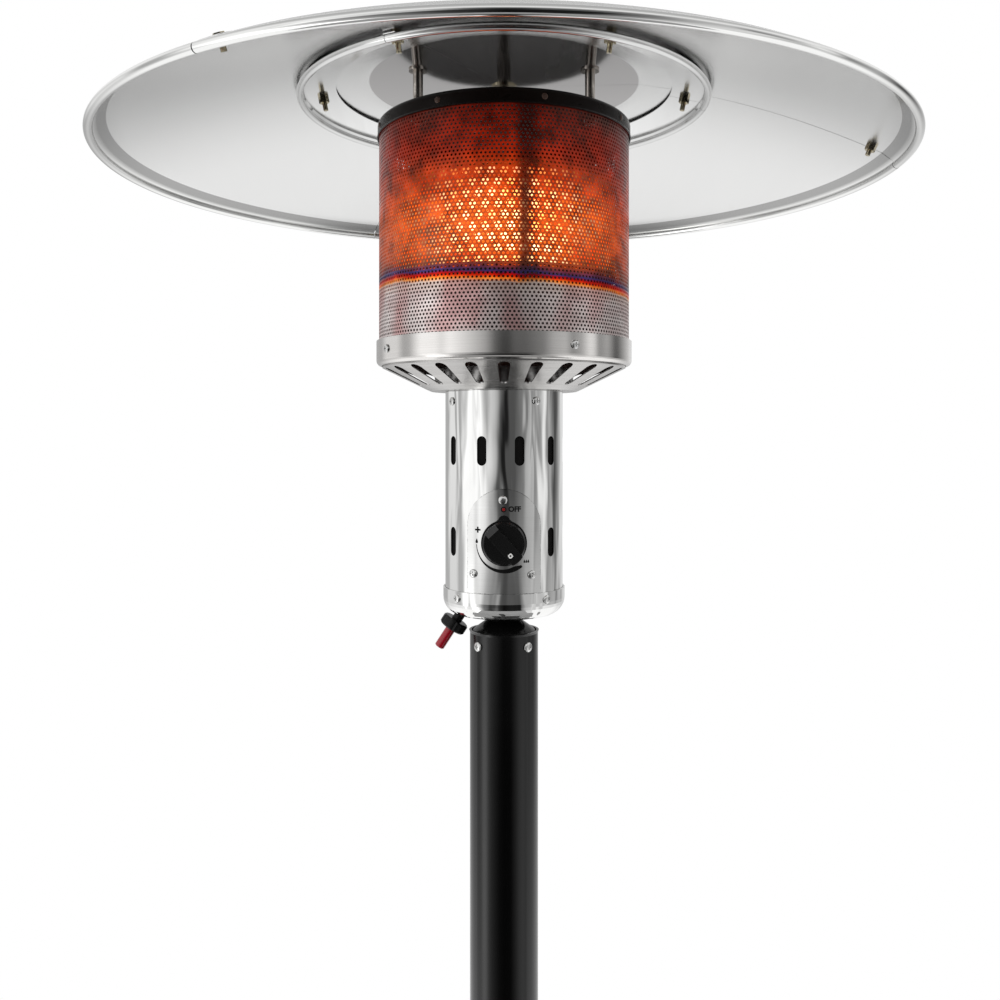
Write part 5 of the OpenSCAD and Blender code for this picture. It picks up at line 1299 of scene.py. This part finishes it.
@dataclass
class Studio:
    """The plain floor, the soft light and the camera at the photograph's place.

    The panels are pairs of the angle round the room, from behind past the left, the front and the
    right, and brightness. The low ones stand below the level, in front. The bands are pairs of height,
    from straight down, 0, to straight up, 1, and brightness, away from the panels.
    """

    floor_radius: float = 1.25
    floor_drop: float = 0.0005
    floor_tones: Tuple[Tone, Tone] = ((0.86, 0.86, 0.855), (0.83, 0.83, 0.825))
    floor_mirrored: float = 0.42
    fade_from: float = 0.62
    fade_to: float = 1.15
    lamps: Sequence[Tuple[str, Colour, float, float]] = (
        ("lamp_left", (-1.9, -1.7, 2.9), 1.6, 22.0), ("lamp_right", (1.8, -1.2, 2.5), 1.2, 9.0))
    lamp_aim: float = 1.6
    lens: float = 36.6
    sensor: float = 36.0
    distance: float = 1.061
    height: float = 1.836
    shift_x: float = -0.004
    shift_y: float = -0.068
    panels: Sequence[Point] = (
        (-180, 0.45), (-150, 0.46), (-140, 0.44), (-128, 0.85), (-108, 0.85), (-99, 0.44), (-91, 0.48),
        (-78, 1.20), (-62, 1.15), (-56, 0.92), (-48, 1.20), (-32, 0.80), (-16, 0.42), (-8, 0.09),
        (-1, 0.012), (4, 0.015), (9, 0.085), (18, 0.085), (35, 0.20), (43, 0.44), (55, 0.55),
        (61, 0.27), (71, 0.42), (81, 0.95), (86, 0.80), (91, 0.27), (103, 0.44), (115, 0.08),
        (120, 0.09), (134, 0.42), (155, 0.85), (180, 0.46))
    low_panels: Sequence[Point] = (
        (-180, 0.40), (-130, 0.30), (-100, 0.12), (-88, 0.22), (-76, 1.75), (-64, 1.95), (-54, 0.80),
        (-44, 0.40), (-30, 0.18), (-16, 0.04), (0, 0.005), (24, 0.015), (40, 0.28), (52, 0.62), (66, 0.80),
        (80, 0.45), (92, 0.06), (110, 0.12), (140, 0.30), (180, 0.40))
    bands: Sequence[Point] = (
        (0.0, 0.35), (0.03, 0.60), (0.07, 1.10), (0.22, 1.08), (0.30, 0.84), (0.36, 0.66),
        (0.42, 0.50), (0.50, 0.42), (0.60, 0.60), (0.70, 0.95), (0.80, 0.90), (0.90, 0.55), (1.0, 0.45))

    def build(self) -> None:
        """Builds the floor, the light and the camera."""
        self._floor()
        self._world()
        for name, place, size, power in self.lamps:
            self._lamp(name, place, size, power)
        self._camera()
        bpy.context.scene.view_settings.view_transform = "Standard"

    def _floor(self) -> None:
        """Lays a pale round floor that fades into the white round it and keeps the shadow."""
        bm = bmesh.new()
        bmesh.ops.create_circle(bm, cap_ends=True, radius=self.floor_radius, segments=128)
        mesh = bpy.data.meshes.new("floor")
        bm.to_mesh(mesh)
        bm.free()
        floor = placed("floor", mesh)
        floor.location.z = -self.floor_drop
        material = bpy.data.materials.new("floor_pale")
        material.use_nodes = True
        g = Graph(material.node_tree)
        place = g.add("ShaderNodeTexCoord").outputs["Object"]
        pale = g.blend(g.remap(g.noise(place, 60.0, 3.0, 0.5), 0.3, 0.7), *self.floor_tones)
        tone = g.blend(g.ray("Is Glossy Ray"), pale, self.floor_mirrored)
        matt = g.add("ShaderNodeBsdfDiffuse", Color=tone).outputs[0]
        white = g.add("ShaderNodeEmission", Strength=1.0).outputs[0]
        fade = g.remap(g.measure("LENGTH", place), self.fade_from, self.fade_to)
        above = g.mixed(g.calc("MULTIPLY", fade, g.ray("Is Camera Ray")), matt, white)
        back = g.add("ShaderNodeNewGeometry").outputs["Backfacing"]
        below = g.mixed(back, above, g.add("ShaderNodeBsdfTransparent").outputs[0])
        g.add("ShaderNodeOutputMaterial", Surface=below)
        mesh.materials.append(material)

    def _world(self) -> None:
        """Makes a pale studio with a dark side and lit panels, plain white where the camera sees it."""
        world = bpy.data.worlds.new("studio")
        bpy.context.scene.world = world
        world.use_nodes = True
        g = Graph(world.node_tree)
        x, y, z = g.split(g.add("ShaderNodeTexCoord").outputs["Generated"])
        turn = g.around(x, y)
        level, low = [g.ramp(turn, [((angle + 180.0) / 360.0, v) for angle, v in panels])
                      for panels in (self.panels, self.low_panels)]
        reach = g.blend(g.remap(y, 0.25, 0.55), 0.50, 0.32)
        rise = g.calc("SUBTRACT", g.calc("ABSOLUTE", z), 0.05)
        lit = g.calc("SUBTRACT", 1.0, g.calc("DIVIDE", rise, reach), clamp=True)
        light = g.blend(lit, g.ramp(g.remap(z, -1.0, 1.0), self.bands), level)
        beneath = g.calc("MULTIPLY", g.remap(y, -0.05, -0.25), g.remap(z, -0.10, -0.24))
        sky, white = [g.add("ShaderNodeBackground", Color=colour, Strength=1.0).outputs[0]
                      for colour in (g.blend(beneath, light, low), 1.0)]
        g.add("ShaderNodeOutputWorld", Surface=g.mixed(g.ray("Is Camera Ray"), sky, white))

    def _lamp(self, name: str, place: Colour, size: float, power: float) -> None:
        """Hangs a soft square lamp that looks at the heater's head.

        Args:
            name: the lamp's name.
            place: where it hangs.
            size: its side.
            power: its power in watts.
        """
        data = bpy.data.lights.new(name, "AREA")
        data.size, data.energy = size, power
        lamp = placed(name, data)
        lamp.location = place
        lamp.visible_glossy = False
        aim = Vector((0, 0, self.lamp_aim)) - Vector(place)
        lamp.rotation_euler = aim.to_track_quat("-Z", "Y").to_euler()

    def _camera(self) -> None:
        """Sets the camera level at the control tube's height, as the photograph was taken."""
        data = bpy.data.cameras.new("camera")
        data.lens, data.sensor_width = self.lens, self.sensor
        data.shift_x, data.shift_y = self.shift_x, self.shift_y
        data.clip_start, data.clip_end = 0.05, 50.0
        camera = placed("camera", data)
        camera.location = (0.0, -self.distance, self.height)
        camera.rotation_euler = (math.pi / 2, 0.0, 0.0)
        bpy.context.scene.camera = camera


@dataclass
class ReflectorProfile:
    """The lines that the reflector's sheets follow, from the middle outwards."""

    flat_radius: float = 0.1400
    flat_height: float = 2.1961
    shoulder: float = 0.3870
    fall: float = 0.0744
    bulge: float = 0.0100
    edge_radius: float = 0.40635
    bead: float = 0.0042
    skirt_fall: float = 0.0162
    hub: float = 0.0080
    seam: float = -4.0
    lap_short: float = 0.002
    lap_rise: float = 0.0015
    ring_hole: float = 0.1730
    ring_flat: float = 0.2050
    ring_gap: float = 0.0032
    ring_bead: float = 0.0036
    ring_bead_out: float = 0.0003
    ring_bead_drop: float = 0.0016
    ring_lap_inset: float = 0.0005
    ring_seam: float = 0.0
    tuck: float = 0.0010
    points: int = 20

    def under(self, radius: float) -> float:
        """Gives the height of the reflector's underside at a distance from the post's axis."""
        share = max(0.0, (radius - self.flat_radius) / (self.shoulder - self.flat_radius))
        return self.flat_height - share * self.fall + 4 * self.bulge * share * (1 - share)

    def dome(self) -> LappedPanels:
        """Gives the dome's panels.

        Returns:
            The panels, which still have to be built.
        """
        radii = [self.flat_radius + (self.shoulder - self.flat_radius) * i / self.points
                 for i in range(self.points + 1)]
        slope = [(self.hub, self.flat_height)] + [(r, self.under(r)) for r in radii]
        x = self.edge_radius - self.bead
        z = self.flat_height - self.fall - self.skirt_fall + self.bead
        lap_end = (x - self.bead - self.lap_short, z + self.bead + self.lap_rise)
        return LappedPanels("dome_panel", slope + [(x - self.tuck, z + self.tuck)], slope + [lap_end],
                            (x, z), self.bead, self.seam)

    def ring(self) -> LappedPanels:
        """Gives the inner ring's panels.

        Returns:
            The panels, which still have to be built.
        """
        level = self.under(self.ring_flat) - self.ring_gap
        x = self.ring_flat + self.ring_bead + self.ring_bead_out
        z = level - self.ring_bead - self.ring_bead_drop
        rise = (self.under(self.ring_hole) - self.under(self.ring_flat)) / (self.ring_flat - self.ring_hole)
        slope, lap = [[(r, level + (self.ring_flat - r) * rise)
                       for r in (self.ring_hole + inset, self.ring_flat - inset)]
                      for inset in (0.0, self.ring_lap_inset)]
        return LappedPanels("ring_panel", slope + [(x - self.tuck, z + self.tuck)], lap, (x, z),
                            self.ring_bead, self.ring_seam)


def main() -> None:
    """Builds the studio, the finishes and the pieces, in order."""
    Studio().build()
    wardrobe = Wardrobe(Effects())
    wardrobe.dress()
    finish = wardrobe.finish
    EmitterScreen().build(finish["screen_steel_heated"])
    BurnerDrum().build(finish["drum_wall"], finish["drum_port"], finish["drum_lid"])
    profile = ReflectorProfile()
    profile.dome().build(finish["dome_sheet"])
    profile.ring().build(finish["ring_sheet"])
    FootLiner().build(finish["liner_steel"])
    TubeShadeSheets().build(finish["tube_shade_black"])
    DialMarks().build(finish["ink_black"], finish["ink_red"])
    KnobMark().build(finish["ink_white"], finish["ink_black"])


if __name__ == "__main__":
    main()
